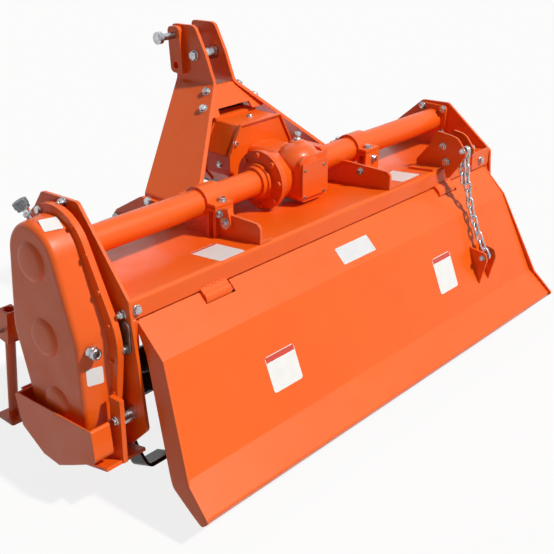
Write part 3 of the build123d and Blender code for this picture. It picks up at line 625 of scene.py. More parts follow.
class Surfaces:
    """Finds points on the CAD nodes' surfaces, so that pieces seat on them."""

    def __init__(self, nodes: dict[str, bpy.types.Object]) -> None:
        """Keep the nodes and an empty store of search trees."""
        self.nodes = nodes
        self.trees: dict[str, BVHTree] = {}

    def tree(self, node: str) -> BVHTree:
        """Search tree of one node.

        Args:
            node: the CAD node.
        Returns:
            The tree, kept for the next call.
        """
        if node not in self.trees:
            mesh = self.nodes[node].data
            points = [vertex.co for vertex in mesh.vertices]
            self.trees[node] = BVHTree.FromPolygons(points, [face.vertices for face in mesh.polygons])
        return self.trees[node]

    def seat(self, node: str, point: Vector, out: Vector, reach: float = 0.12) -> tuple[Vector, Vector]:
        """Drop a point onto a node along the inward direction.

        Args:
            node: the CAD node to seat on.
            point: a row-frame point on or near the surface.
            out: the direction out of the surface.
            reach: how far outside the point the search starts, in metres.
        Returns:
            The seat and the surface's outward normal there.
        """
        place, normal, _, _ = self.tree(node).ray_cast(point + out * reach, -out, 2 * reach)
        if place is None:
            log.warning("no seat on %s near %s", node, tuple(round(c, 3) for c in point))
            return point, out
        return place, -normal if normal.dot(out) < 0 else normal


def standing(place: Vector, normal: Vector, spin: float = 0.0) -> Matrix:
    """Matrix that stands a piece's Z on a normal at a place, turned by spin degrees."""
    turn = normal.to_track_quat("Z", "Y").to_matrix().to_4x4()
    return Matrix.Translation(place) @ turn @ Matrix.Rotation(math.radians(spin), 4, "Z")


def framed(place: Vector, right: Sequence[float], up: Sequence[float], out: Sequence[float]) -> Matrix:
    """Matrix that lays a piece's X, Y and Z along three directions at a place."""
    return Matrix.Translation(place) @ Matrix((right, up, out)).transposed().to_4x4()


def ring(x: float, middle: Pair, radius: float, count: int, first: float) -> list[Triple]:
    """Points evenly round a circle in the YZ plane, from a first angle in degrees."""
    angles = [math.radians(first + 360 / count * number) for number in range(count)]
    return [(x, middle[0] + radius * math.cos(a), middle[1] + radius * math.sin(a)) for a in angles]


# ------------------------------------------------------------------------------------------ fasteners
class Head(Enum):
    """Form of a fastener's visible end."""

    BOLT = "bolt"
    NUT = "nut"
    SOCKET = "socket"
    RIVET = "rivet"


@dataclass(frozen=True)
class Spot:
    """Place of one fastener: machine point, side that it faces, node that it seats on."""

    point: Triple
    side: Side
    node: str

    @classmethod
    def row(cls, side: Side, node: str, *points: Triple) -> list["Spot"]:
        """Spots on one side of one node."""
        return [cls(point, side, node) for point in points]

    @classmethod
    def pair(cls, left: str, right: str, *points: Triple) -> list["Spot"]:
        """Spots on the left and right nodes, mirrored about the middle, the left ones first."""
        mirrored = [(-x, y, z) for x, y, z in points]
        return cls.row(Side.LEFT, left, *mirrored) + cls.row(Side.RIGHT, right, *points)


@dataclass
class Fastener:
    """Hex bolt, lock nut, socket screw or rivet, with its washer; sizes in millimetres."""

    head: Head
    shank: float = 5.0
    across: float = 17.0
    height: float = 7.0
    washer_radius: float = 11.5
    washer: float = 2.0
    stub: float = 5.0

    @property
    def top(self) -> float:
        """Height of the head's top above the seat."""
        return self.washer + self.height

    def model(self) -> bpy.types.Object:
        """Model the fastener standing on the origin along Z.

        Returns:
            The piece.
        """
        parts = []
        if self.washer > 0:
            radius, edge = self.washer_radius, 0.4
            parts.append(Bench.stack("washer", 24, [(radius, 0), (radius, self.washer - edge),
                                                    (radius - edge, self.washer)]))
        parts.append(getattr(self, f"_{self.head.value}")())
        piece = Bench.join("fastener", parts)
        Bench.smooth(piece)
        return piece

    def _hexagon(self, top_cut: float) -> bpy.types.Object:
        """Chamfered hexagon above the washer, with its top inset and sunk.

        Args:
            top_cut: how far its top is sunk.
        Returns:
            The hexagon.
        """
        radius = self.across / math.sqrt(3)
        piece = Bench.stack("hexagon", 6, [(radius, self.washer), (radius, self.top - 0.9),
                                           (radius * 0.88, self.top)])
        with Editing(piece) as edit:
            edit.faces(lambda face: face.normal.z > 0.9)
            bpy.ops.mesh.inset(thickness=self.across * 0.16 * MM)
            edit.move(z=-top_cut)
            edit.edges(lambda edge: abs(edge.verts[0].co.z - edge.verts[1].co.z) > (self.height - 2) * MM)
            bpy.ops.mesh.bevel(offset=0.35 * MM, segments=1, affect="EDGES")
        return piece

    def _bolt(self) -> bpy.types.Object:
        """Bolt head with a shallow dish in its top."""
        return self._hexagon(0.35)

    def _nut(self) -> bpy.types.Object:
        """Lock nut with its collar and the threaded end of the bolt through it.

        Returns:
            The nut.
        """
        top, pitch = self.top, 1.6
        wide, narrow = self.across * 0.42, self.across * 0.36
        collar = Bench.stack("collar", 20, [(wide, top - 1.2), (wide, top + 1.4), (narrow, top + 2.2),
                                            (self.shank + 0.1, top + 2.0)])
        rings = [(self.shank, top)]
        for turn in range(max(1, int(self.stub / pitch))):
            rings += [(self.shank * 0.9, top + 2.2 + turn * pitch), (self.shank, top + 3.0 + turn * pitch)]
        rings.append((self.shank * 0.8, rings[-1][1] + 0.9))
        thread = Bench.stack("thread", 16, rings)
        return Bench.join("nut", [self._hexagon(0.0), collar, thread])

    def _socket(self) -> bpy.types.Object:
        """Round head with a dished top.

        Returns:
            The head.
        """
        radius, top, edge = self.across / 2, self.top, 0.8
        return Bench.stack("socket_head", 24, [
            (radius, self.washer), (radius, top - edge), (radius - edge, top), (radius * 0.55, top),
            (radius * 0.5, top - self.height * 0.6),
        ])

    def _rivet(self) -> bpy.types.Object:
        """Low domed rivet.

        Returns:
            The rivet.
        """
        radius = self.across / 2
        rings = [(radius * math.cos(a), self.height * math.sin(a)) for a in (0.0, 0.4, 0.8, 1.15, 1.42)]
        return Bench.stack("dome", 16, rings)


# ------------------------------------------------------------------------------------------ labels
@dataclass(frozen=True)
class Label:
    """Blank label: size, corner radius and a coloured band along its top, in millimetres."""

    name: str
    width: float
    height: float
    band: float
    field: str = "label_white"
    header: str = "label_red"
    corner: float = 4.0
    thickness: float = 0.6
    border: float = 1.6
    lift: float = 0.1

    def model(self, palette: Palette) -> bpy.types.Object:
        """Model the label lying on the origin, its top towards +Y, in its finishes.

        Args:
            palette: the finishes.
        Returns:
            The piece.
        """
        piece = Bench.slab((self.width, self.height), self.corner, 4, self.thickness)
        piece.name = self.name
        middle, cut = self.thickness * 0.5 * MM, (self.height / 2 - self.band) * MM
        with Editing(piece) as edit:
            edit.faces(lambda face: face.normal.z > 0.9 and face.calc_center_median().z > middle)
            bpy.ops.mesh.inset(thickness=self.border * MM)
            if self.band:
                bpy.ops.mesh.bisect(plane_co=(0, cut, 0), plane_no=(0, 1, 0))
            edit.tidy()
        palette.coat(piece, self.field, self.header)
        inner_x, inner_y = (self.width / 2 - self.border) * MM, (self.height / 2 - self.border) * MM
        for face in piece.data.polygons:
            x, y, _ = face.center
            if self.band and face.normal.z > 0.9 and abs(x) < inner_x and cut < y < inner_y:
                face.material_index = 1
        return piece


# ------------------------------------------------------------------------------------------ sub-assemblies
@dataclass
class Assembly:
    """A sub-assembly, with the calls that all of them share."""

    datum: Datum
    surfaces: Surfaces
    palette: Palette

    def at(self, x: float, y: float, z: float) -> Vector:
        """Row-frame point in metres of a machine point in millimetres."""
        return self.datum.at(x, y, z)

    def fix(self, piece: bpy.types.Object, finish: str, slot: str = "orange_paint", body: str = "frame",
            place: Matrix | None = None, smooth: float = 0.0) -> bpy.types.Object:
        """Shade, place and dress a finished piece, fix it to a body and report it.

        Args:
            piece: the piece.
            finish: its finish, or nothing where it is dressed already.
            slot: the record's material slot; not used.
            body: the body that it rides on.
            place: where it goes from the origin.
            smooth: angle in degrees below which it is shaded smooth.
        Returns:
            The piece.
        """
        if smooth:
            Bench.smooth(piece, smooth)
        if place is not None:
            piece.data.transform(place)
        if finish:
            self.palette.coat(piece, finish)
        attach(piece, body)
        log.info("%s on %s, %d faces", piece.name, body, len(piece.data.polygons))
        return piece

    def repeat(self, name: str, model: bpy.types.Object, places: list[Matrix], finish: str, slot: str,
               body: str = "frame", keep: bool = False) -> bpy.types.Object:
        """Copy a model to its places as one piece, dress it and fix it to a body.

        Args:
            name: the piece's name.
            model: what is copied, removed afterwards unless it is kept.
            places: one matrix for each copy.
            finish: the finish.
            slot: the record's material slot.
            body: the body that it rides on.
            keep: whether the model is needed again.
        Returns:
            The piece.
        """
        piece = self.fix(Bench.copies(name, model, places), finish, slot, body)
        if not keep:
            bpy.data.objects.remove(model)
        return piece

    def fit(self, name: str, fastener: Fastener, spots: list[Spot], finish: str = "zinc_plate",
            slot: str = "zinc", body: str = "frame") -> None:
        """Seat one kind of fastener on its spots, as one piece.

        Args:
            name: the set's name.
            fastener: the fastener of every spot.
            spots: where each one sits.
            finish: the finish.
            slot: the record's material slot.
            body: the body that the set rides on.
        """
        places = []
        for number, spot in enumerate(spots):
            place, normal = self.surfaces.seat(spot.node, self.at(*spot.point), spot.side.out)
            places.append(standing(place, normal, 11 + number * 47))
        self.repeat(name, fastener.model(), places, finish, slot, body)

    def stick(self, label: Label, node: str, point: Triple, side: Side, top: Triple,
              body: str = "frame") -> None:
        """Seat one label on a node.

        Args:
            label: the label.
            node: the CAD node that it is stuck to.
            point: machine point near its middle.
            side: the side that the surface faces.
            top: direction of the label's top edge.
            body: the body that it rides on.
        """
        piece = label.model(self.palette)
        place, normal = self.surfaces.seat(node, self.at(*point), side.out)
        up = Vector(top)
        up = (up - normal * up.dot(normal)).normalized()
        place = framed(place + normal * label.lift * MM, up.cross(normal), up, normal)
        self.fix(piece, "", body=body, place=place)


@dataclass
class Chain(Assembly):
    """Round-wire chain from the bracket's pin to the tailgate's bolt; millimetres and degrees."""

    x: float = 484.0
    pin: Pair = (-60.0, 563.0)
    wire: float = 3.5
    inside: float = 26.0
    inside_width: float = 10.4
    slack: float = 0.6
    pin_radius: float = 4.5
    pin_slack: float = 0.3
    count: int = 12
    bow_start: float = 0.73
    bow_step: float = 2.662
    last: Triple = (-153.3, 268.7, 34.0)
    spare_aside: float = 8.4
    spare_leans: tuple[float, ...] = (-12.0, -7.0, 3.0, 9.0)

    def build(self) -> None:
        """Model the link, hang the strand and the spare links, and add the one round the gate's bolt."""
        model = self.link()
        leans = [self.bow_start + self.bow_step * number for number in range(self.count)]
        places = self.hang(self.x, leans)
        strand = self.repeat("chain_strand", model, places, "zinc_chain", "zinc", "chain", True)
        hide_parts("chain_links")
        y, z, lean = self.last
        end = [self.place(self.x, y, z, lean, 0.0)]
        self.repeat("chain_end_link", model, end, "zinc_chain", "zinc", "tailgate", True)
        spare = self.hang(self.x - self.spare_aside, self.spare_leans)
        self.repeat("chain_spare_links", model, spare, "zinc_chain", "zinc", "chain")

    def link(self) -> bpy.types.Object:
        """Model one link standing along Z in the YZ plane, with its weld.

        Returns:
            The link.
        """
        bend = (self.inside_width / 2 + self.wire) * MM
        half_run = (self.inside - self.inside_width) / 2
        loop = Bench.start("torus", major_segments=26, minor_segments=12, major_radius=bend,
                           minor_radius=self.wire * MM, rotation=(0, math.pi / 2, 0))
        with Editing(loop) as edit:
            edit.points(lambda point: point.co.z > 0)
            edit.move(z=half_run)
            edit.points(lambda point: point.co.z < 0)
            edit.move(z=-half_run)
        foot, crown = self.wire * 0.99, self.wire * 1.09
        weld = Bench.stack("weld", 12, [(foot, -2.4), (crown, -1.0), (crown, 1.0), (foot, 2.4)])
        weld.data.transform(Matrix.Translation((0, bend, 0)))
        piece = Bench.join("link", [loop, weld])
        Bench.smooth(piece, 60)
        return piece

    def hang(self, x: float, leans: Sequence[float]) -> list[Matrix]:
        """Places of links that hang in a row from the pin.

        Args:
            x: the row's place across the machine.
            leans: how far each link leans back, from the pin down.
        Returns:
            One matrix for each link.
        """
        y, z = self.pin
        run = self.inside / 2 - self.pin_radius - self.pin_slack
        found = []
        for number, lean in enumerate(leans):
            y -= run * math.sin(math.radians(lean))
            z -= run * math.cos(math.radians(lean))
            found.append(self.place(x, y, z, lean, 90.0 * (number % 2)))
            run = self.inside - self.slack
        return found

    def place(self, x: float, y: float, z: float, lean: float, turn: float) -> Matrix:
        """Matrix of one link, leaning back and turned about its own length."""
        tilt = Matrix.Rotation(math.radians(-lean), 4, "X")
        return Matrix.Translation(self.at(x, y, z)) @ tilt @ Matrix.Rotation(math.radians(turn), 4, "Z")


@dataclass
class GearCase(Assembly):
    """Outer details of the gear case: flange bolts, oil window, filler cap, bosses, labels."""

    flange_x: float = -751.0
    flange_ring: tuple[Pair, ...] = (
        (131.7, 645.4), (91.5, 586.6), (60.2, 511.7), (33.5, 440.9), (31.4, 355.9), (31.6, 278.4),
        (60, 170), (150, 112), (240, 150), (290, 640), (324, 560), (342, 440), (330, 330), (300, 240),
    )
    top_bolt: Pair = (250.4, 647.9)
    window: Triple = (-790.0, 31.0, 389.3)
    face_x: float = -815.0
    bosses: tuple[Pair, ...] = ((203, 559), (183.0, 385.3), (157, 223.6))
    cap_foot: Triple = (-778.3, 232.9, 629.5)
    cap_axis: Triple = (-0.309, 0.3716, 0.8754)

    def build(self) -> None:
        """Fit the flange's bolts, the window, the cap, the bosses and the labels."""
        flange = [(self.flange_x, *spot) for spot in self.flange_ring]
        self.fit("gear_case_flange_bolts", Fastener(Head.BOLT, 4, 10, 4, 0, 0),
                 Spot.row(Side.LEFT, "gear_case_cover", *flange), "orange_sheet", "orange_paint")
        self.fit("gear_case_top_bolt", Fastener(Head.BOLT, 5, 15, 6, 9.5, 1.8),
                 Spot.row(Side.LEFT, "gear_case_cover", (self.flange_x, *self.top_bolt)))
        window = standing(self.at(*self.window), Side.REAR.out)
        lens = Bench.stack("oil_window_lens", 24, [(8.2, -3), (8.2, 0.2), (6.5, 0.9), (3.0, 1.3)])
        self.fix(lens, "oil_window", "zinc", place=window, smooth=50)
        rim = Bench.stack("oil_window_rim", 28, [(13.2, -5), (13.2, 0.4), (12.2, 1.4), (9.4, 1.4),
                                                 (8.4, 0.1)])
        self.fix(rim, "zinc_plate", "zinc", place=window, smooth=40)
        self.cap()
        boss = Bench.stack("boss", 64, [(46, -1), (45, 0.4), (43.4, 3.1), (40, 5.4), (35.5, 6.9),
                                        (31, 7.4)])
        Bench.smooth(boss, 60)
        places = [standing(self.at(self.face_x, y, z), Side.LEFT.out) for y, z in self.bosses]
        self.repeat("gear_case_bosses", boss, places, "orange_sheet", "orange_paint")
        self.stick(Label("label_case_top", 42, 38, 0, corner=3), "gear_case_cover", (-777, 172, 640),
                   Side.UP, (0.25, 0.9, 0.3))
        self.stick(Label("label_case_rear", 38, 41, 0, corner=5), "gear_case_cover", (-784, 52, 326),
                   Side.REAR, (0, 0, 1))

    def cap(self) -> None:
        """Filler cap: thin neck, hexagon and a dark knurled knob."""
        ridges, groove, neck_top = 44, 0.955, 0.035
        grip_radius, grip_foot, grip_top = 0.0135, 0.0425, 0.057
        knob = Bench.stack("knob", ridges, [(12, 35.5), (15, 36), (15, 42.5), (17, 43.5), (17, 56.2),
                                            (15.4, 57.8), (11, 57.8), (10.2, 56.8), (3, 56.8)])
        step = math.tau / ridges
        with Editing(knob) as edit:
            edit.points(lambda point: grip_radius < point.co.xy.length and grip_foot < point.co.z < grip_top
                        and round(math.atan2(point.co.y, point.co.x) / step) % 2)
            edit.resize(groove, groove, level=50)
        neck = Bench.stack("neck", 24, [(7, 0), (7, 27), (6.2, 27.6), (6.2, 36)])
        hexagon = Bench.stack("hexagon", 6, [(10.4, 20), (11.2, 20.8), (11.2, 27), (10.4, 27.8)])
        piece = Bench.join("filler_cap_detailed", [knob, neck, hexagon])
        Bench.smooth(piece)
        self.palette.coat(piece, "zinc_plate", "dark_steel")
        for face in piece.data.polygons:
            face.material_index = int(face.center.z > neck_top)
        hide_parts("filler_cap")
        self.fix(piece, "", "zinc", place=standing(self.at(*self.cap_foot), Vector(self.cap_axis)))


@dataclass
class BevelBox(Assembly):
    """Outer details of the middle gearbox: screws, guard bolts, breather, rounded top, input cone."""

    x: float = 10.0
    axis: Pair = (203.0, 559.0)
    disc_x: float = -102.0
    disc_ring: float = 68.0
    breather: Triple = (18.0, 178.0, 646.0)
    bulge: Triple = (8.0, 168.0, 600.0)
    bulge_size: Triple = (62.0, 54.0, 45.0)
    cone_foot: float = 311.0
    cone_ribs: int = 8

    def build(self) -> None:
        """Fit the disc's screws, the cover's screws, the guard's bolts and the other details."""
        disc = ring(self.disc_x, self.axis, self.disc_ring, 8, 40)
        self.fit("gearbox_disc_screws", Fastener(Head.BOLT, 4, 14, 7, 0, 0),
                 Spot.row(Side.LEFT, "gearbox_housing", *disc), "orange_casting", "orange_casting")
        x, z = self.x, self.axis[1]
        cover = [(x + dx, 110, z - 8 + dz) for dx in (-38, 38) for dz in (-36.5, 36.5)]
        self.fit("gearbox_cover_screws", Fastener(Head.SOCKET, 3, 9, 1.6, 0, 0),
                 Spot.row(Side.REAR, "gearbox_cover", *cover), "dull_disc")
        guard = (((x + 9, 353, 678), Side.UP), ((x - 97, 306, 634), Side.REAR),
                 ((x - 119, 344, 573), Side.LEFT), ((x + 119, 344, 573), Side.RIGHT))
        self.fit("guard_bolts", Fastener(Head.BOLT, 4, 13, 5, 9.5, 1.6),
                 [Spot(point, side, "pto_shield") for point, side in guard])
        self.vent()
        self.bulged_top()
        self.input_cone()

    def vent(self) -> None:
        """Breather: hexagon, neck and a mushroom cap."""
        hexagon = Bench.stack("vent_hexagon", 6, [(9.5, -2), (9.5, 6), (8.6, 7)])
        neck = Bench.stack("vent_neck", 20, [(5.5, 6), (5.5, 12), (9.0, 12.5), (9.6, 14), (9.6, 19),
                                             (8.2, 22), (4.5, 23.4)])
        piece = Bench.join("gearbox_breather", [hexagon, neck])
        self.fix(piece, "zinc_plate", "zinc", place=Matrix.Translation(self.at(*self.breather)), smooth=32)

    def bulged_top(self) -> None:
        """Rounded top of the casting, between the disc and the cover."""
        dome = Bench.start("uv_sphere", segments=48, ring_count=24, radius=MM)
        with Editing(dome) as edit:
            edit.all()
            edit.resize(*self.bulge_size)
        pad = Bench.stack("pad", 32, [(23, 30), (22, 41), (19, 45.5), (13, 46.5)])
        pad.data.transform(Matrix.Translation((10 * MM, 10 * MM, 0)))
        piece = Bench.join("gearbox_top", [dome, pad])
        place = Matrix.Translation(self.at(*self.bulge))
        self.fix(piece, "orange_casting", "orange_casting", place=place, smooth=70)

    def input_cone(self) -> None:
        """Ribbed black plastic cone round the input shaft, inside the guard."""
        rings = [(62, 0)]
        for rib in range(self.cone_ribs):
            foot, radius = 12 + rib * 20, 64 + rib * 3.4
            rings += [(radius, foot), (radius + 4, foot + 6), (radius + 4, foot + 11),
                      (radius + 1, foot + 15)]
        rings += [(92, 174), (88.5, 174), (62, 16), (45, 14)]
        place = standing(self.at(self.x, self.cone_foot, self.axis[1]), Side.FRONT.out)
        self.fix(Bench.stack("input_cone", 40, rings), "rotor_black", "rotor_black", place=place, smooth=40)


@dataclass
class HoodFittings(Assembly):
    """Bolts, strap, end plate and labels of the hood, its brackets and its side plates."""

    clamps: Pair = (-293.0, 295.0)
    lips: Pair = (151.0, 257.0)
    tube: Pair = (203.0, 559.0)
    tube_bolts: float = 38.0
    rotor: Pair = (157.0, 223.6)
    flange_x: float = 702.0
    plate_x: float = 722.0
    bearing_x: float = 735.0
    bearing_ring: float = 64.0
    strap: Triple = (-722.0, 16.0, 410.0)
    strap_size: Triple = (17.0, 23.0, 4.0)
    end_plate: tuple[float, float, float, float] = (616.0, 712.0, 454.0, 507.0)

    def build(self) -> None:
        """Fit the bolts, the strap, the strip's end plate and the deck's labels."""
        bolt, nut = Fastener(Head.BOLT), Fastener(Head.NUT, height=8)
        clamps = [(x, y, 580) for x in self.clamps for y in self.lips]
        self.fit("clamp_bolts", bolt, Spot.row(Side.UP, "tube_clamps", *clamps))
        self.fit("bracket_bolts", bolt, [Spot((201, 104.5, 531), Side.LEFT, "hood_brackets"),
                                         Spot((305.5, 137, 537), Side.REAR, "hood_brackets")])
        self.fit("bracket_washer_bolt", Fastener(Head.BOLT, 5, 15, 5, 15, 9.4),
                 Spot.row(Side.LEFT, "hood_brackets", (-316, 111.9, 527.5)))
        self.fit("bracket_tab_bolt", Fastener(Head.BOLT, 5, 16, 7, 11, 9),
                 Spot.row(Side.LEFT, "hood_brackets", (-316, 128.8, 547.7)))
        self.fit("strip_bolts", bolt, Spot.row(Side.REAR, "hood_shell", (-702, 0, 474)))
        (y, z), half, x = self.tube, self.tube_bolts, self.plate_x
        flange = [(y + dy, z + dz) for dy in (-half, half) for dz in (-half, half)]
        self.fit("tube_flange_bolts", bolt,
                 Spot.row(Side.LEFT, "axle_tube_right", *((self.flange_x, *c) for c in flange)))
        self.fit("side_plate_nuts", nut, Spot.pair("side_plate_left", "side_plate_right", (x, 21, 463))
                 + Spot.row(Side.LEFT, "side_plate_left", (-x, 198, 671)))
        self.fit("side_plate_bolts_right", bolt,
                 Spot.row(Side.RIGHT, "side_plate_right", *((x, *c) for c in flange)))
        bearing = ring(self.bearing_x, self.rotor, self.bearing_ring, 6, 30)
        self.fit("bearing_bolts_right", bolt, Spot.row(Side.RIGHT, "rotor_bearings", *bearing))
        self.fit("skid_bolts", bolt, Spot.pair("skid_left", "skid_right", (771, 9, 226)))
        self.slotted_strap()
        self.strip_end()
        for label, node, point in (
            (Label("label_deck_left", 83, 104, 9, corner=7), "hood_shell", (-405, 57, 495)),
            (Label("deck_pad_right", 50, 110, 0, "orange_sheet", thickness=8.1, border=0.5, lift=-0.2),
             "hood_shell", (327, 60, 495)),
            (Label("label_deck_right", 86, 102, 9, corner=7), "hood_brackets", (306, 55, 495)),
        ):
            self.stick(label, node, point, Side.UP, (0, 1, 0))

    def slotted_strap(self) -> None:
        """Dull round-ended strap on the outside of the left side plate, with its nut."""
        radius, half, thick = self.strap_size
        strap = Bench.stack("left_plate_strap", 32, [(radius, 0), (radius, thick - 0.6),
                                                     (radius - 0.6, thick)])
        with Editing(strap) as edit:
            edit.points(lambda point: point.co.y > 1e-6)
            edit.move(y=half)
            edit.points(lambda point: point.co.y < 1e-6)
            edit.move(y=-half)
        Bench.smooth(strap)
        nut = Fastener(Head.NUT, height=8, stub=4).model()
        nut.data.transform(Matrix.Translation((0, -(half + 4) * MM, thick * MM)))
        piece = Bench.join("left_plate_strap", [strap, nut])
        self.fix(piece, "dull_disc", "zinc",
                 place=framed(self.at(*self.strap), (0, -1, 0), (0, 0, 1), Side.LEFT.value))

    def strip_end(self) -> None:
        """Doubling plate at the right end of the hood's strip, with its bolt."""
        x0, x1, z0, z1 = self.end_plate
        thick, sunk = 4.0, 0.2
        place = framed(self.at((x0 + x1) / 2, sunk, (z0 + z1) / 2), (1, 0, 0), (0, 0, 1), Side.REAR.value)
        plate = Bench.slab((x1 - x0, z1 - z0), 9, 5, thick)
        bolt = Fastener(Head.BOLT).model()
        bolt.data.transform(Matrix.Translation((0, -3 * MM, thick * MM)))
        plate.name, bolt.name = "strip_end_plate", "strip_end_bolt"
        self.fix(plate, "orange_sheet", place=place)
        self.fix(bolt, "zinc_plate", "zinc", place=place)


@dataclass
class HingeWelds(Assembly):
    """Tack welds along the top of the hood's two rolled hinge tongues."""

    middles: Pair = (-477.0, 461.0)
    across: tuple[float, ...] = (-30.0, -19.0, -9.0, 2.0, 14.0, 27.0)
    height: float = 456.6
    normal: Triple = (0, -0.75, 0.66)

    def build(self) -> None:
        """Model one bead and copy it along both tongues."""
        bead = Bench.stack("bead", 10, [(3.4, -0.4), (3.0, 0.9), (1.8, 1.7)])
        Bench.smooth(bead, 60)
        places = []
        for middle in self.middles:
            for number, dx in enumerate(self.across):
                stretch = Matrix.Diagonal((1.0 + 0.35 * (number % 3), 1.0, 1.0, 1.0))
                spot = self.at(middle + dx, -0.6, self.height + 0.5 * (number % 2))
                places.append(standing(spot, Vector(self.normal)) @ stretch)
        self.repeat("hinge_welds", bead, places, "orange_casting", "orange_paint")


@dataclass
class SheetTrim(Assembly):
    """Thin sheet and black strips: seam seal, end flanges, black strips of painted shade, the guard's rim
    and lip, clamp tab.
    """

    seal_y: Pair = (5.6, 8.6)
    seal_runs: tuple[Pair, ...] = ((-700, -522), (-431, 416), (507, 700))
    seal_legs: Pair = (-431, 507)
    flange_x: Pair = (701.5, 713.6)
    strips: tuple[tuple[Triple, Triple], ...] = (
        ((-515, 22.5, 412), (-385, 24.5, 450)), ((422, 22.5, 412), (552, 24.5, 450)),
        ((-72, 447, 679), (92, 451, 698)),
    )
    guard_x: float = 10.0
    guard_half: tuple[Pair, ...] = ((93, 512.5), (121.2, 546.3), (121.2, 602.6), (78.3, 680.2))
    guard_runs: tuple[Pair, ...] = ((300.5, 309.0), (398.0, 452.0))
    sheet: float = 4.4
    tab_foot: Triple = (-306.0, 112.0, 527.0)
    tab_up: Triple = (0, 0.256, 0.967)
    tab_length: float = 40.0
    tab_cut: float = 35.0

    def build(self) -> None:
        """Make every trim."""
        y0, y1 = self.seal_y
        seal = [((x0, y0, 440.5), (x1, y1, 455.0)) for x0, x1 in self.seal_runs]
        seal += [((x0, y0, 404), (x0 + 34, y1, 441.5)) for x0 in self.seal_legs]
        self.bars("gate_seam_seal", seal, body="tailgate")
        near, far = self.flange_x
        flanges = [((-far, -3.0, 384), (-near, 3.0, 449)), ((near, -3.0, 384), (far, 3.0, 449))]
        self.bars("hood_end_flanges", flanges)
        # Black strips in gaps near the hinge and above the guard's lip: painted shade standing in for the
        # dark interior seen through those gaps.
        self.bars("rubber_strips", self.strips, "rotor_black", "rotor_black")
        self.guard_skin()
        self.tab()

    def bars(self, name: str, runs: Sequence[tuple[Triple, Triple]], finish: str = "orange_sheet",
             slot: str = "orange_paint", body: str = "frame") -> None:
        """Rectangular bars with eased edges, joined.

        Args:
            name: the piece's name.
            runs: the low and high machine corners of each bar.
            finish: the finish.
            slot: the record's material slot.
            body: the body that they ride on.
        """
        parts = []
        for low, high in runs:
            part = Bench.start("cube", size=MM)
            low, high = Vector(low), Vector(high)
            with Editing(part) as edit:
                edit.all()
                edit.resize(*(high - low))
                bpy.ops.mesh.bevel(offset=0.8 * MM, segments=2, affect="EDGES")
            part.data.transform(Matrix.Translation(self.at(*((low + high) / 2))))
            parts.append(part)
        self.fix(Bench.join(name, parts), finish, slot, body)

    def guard_skin(self) -> None:
        """Rim round the guard's rear plate and the lip that carries its skin forward."""
        outline = [(-x, z) for x, z in self.guard_half] + [(x, z) for x, z in reversed(self.guard_half)]
        floor = self.guard_half[0][1] * MM + 1e-4
        parts = []
        for start, end in self.guard_runs:
            part = Bench.start("circle", vertices=len(outline), radius=0.1, fill_type="NOTHING")
            with Editing(part) as edit:
                mesh = bmesh.from_edit_mesh(part.data)
                for vertex, (x, z) in zip(mesh.verts, outline):
                    vertex.co = self.at(self.guard_x + x, start, z)
                bmesh.update_edit_mesh(part.data)
                edit.edges(lambda edge: all(vertex.co.z < floor for vertex in edge.verts))
                bpy.ops.mesh.delete(type="EDGE")
                edit.all()
                edit.extrude(y=end - start)
            wall = part.modifiers.new("wall", "SOLIDIFY")
            wall.thickness, wall.offset, wall.use_even_offset = self.sheet * MM, 0.0, True
            bpy.ops.object.modifier_apply(modifier=wall.name)
            parts.append(part)
        piece = Bench.join("guard_rim_and_lip", parts)
        with Editing(piece) as edit:
            edit.tidy()
        self.fix(piece, "orange_sheet")

    def tab(self) -> None:
        """Round-ended tab of the left tube clamp, where its two bolts sit."""
        tab = Bench.stack("clamp_tab_left", 32, [(18.5, 0), (18.5, 16.6), (17.7, 17.4)])
        with Editing(tab) as edit:
            edit.points(lambda point: point.co.y > 1e-6)
            edit.move(y=self.tab_length)
            edit.all()
            bpy.ops.mesh.bisect(plane_co=(0, self.tab_cut * MM, 0), plane_no=(0, 1, 0), clear_outer=True,
                                use_fill=True)
        up, out = Vector(self.tab_up).normalized(), Side.LEFT.out
        place = framed(self.at(*self.tab_foot), up.cross(out), up, out)
        self.fix(tab, "orange_sheet", place=place, smooth=32)


@dataclass
class ChainBracket(Assembly):
    """Bolts and pins' nuts of the chain's bracket and ears."""

    bolts: tuple[Triple, ...] = ((460, 5, 564), (460, -10, 521))
    pin: Pair = (-60, 563)
    pin_ends: Pair = (460, 508)
    ear_pin: Pair = (-158, 262)
    ear_ends: Pair = (456, 512)

    def build(self) -> None:
        """Fit the bracket's bolts and the two pins' nuts."""
        self.fit("chain_bracket_bolts", Fastener(Head.BOLT, washer_radius=11),
                 Spot.row(Side.LEFT, "chain_bracket", *self.bolts))
        nut = Fastener(Head.NUT, 4.4, 14, 6.5, 9, 1.5, 3)
        for name, node, (left, right), pin, body in (
            ("chain_pin_nuts", "chain_bracket", self.pin_ends, self.pin, "frame"),
            ("chain_ear_nuts", "tailgate_chain_ears", self.ear_ends, self.ear_pin, "tailgate"),
        ):
            ends = [Spot((left, *pin), Side.LEFT, node), Spot((right, *pin), Side.RIGHT, node)]
            self.fit(name, nut, ends, body=body)


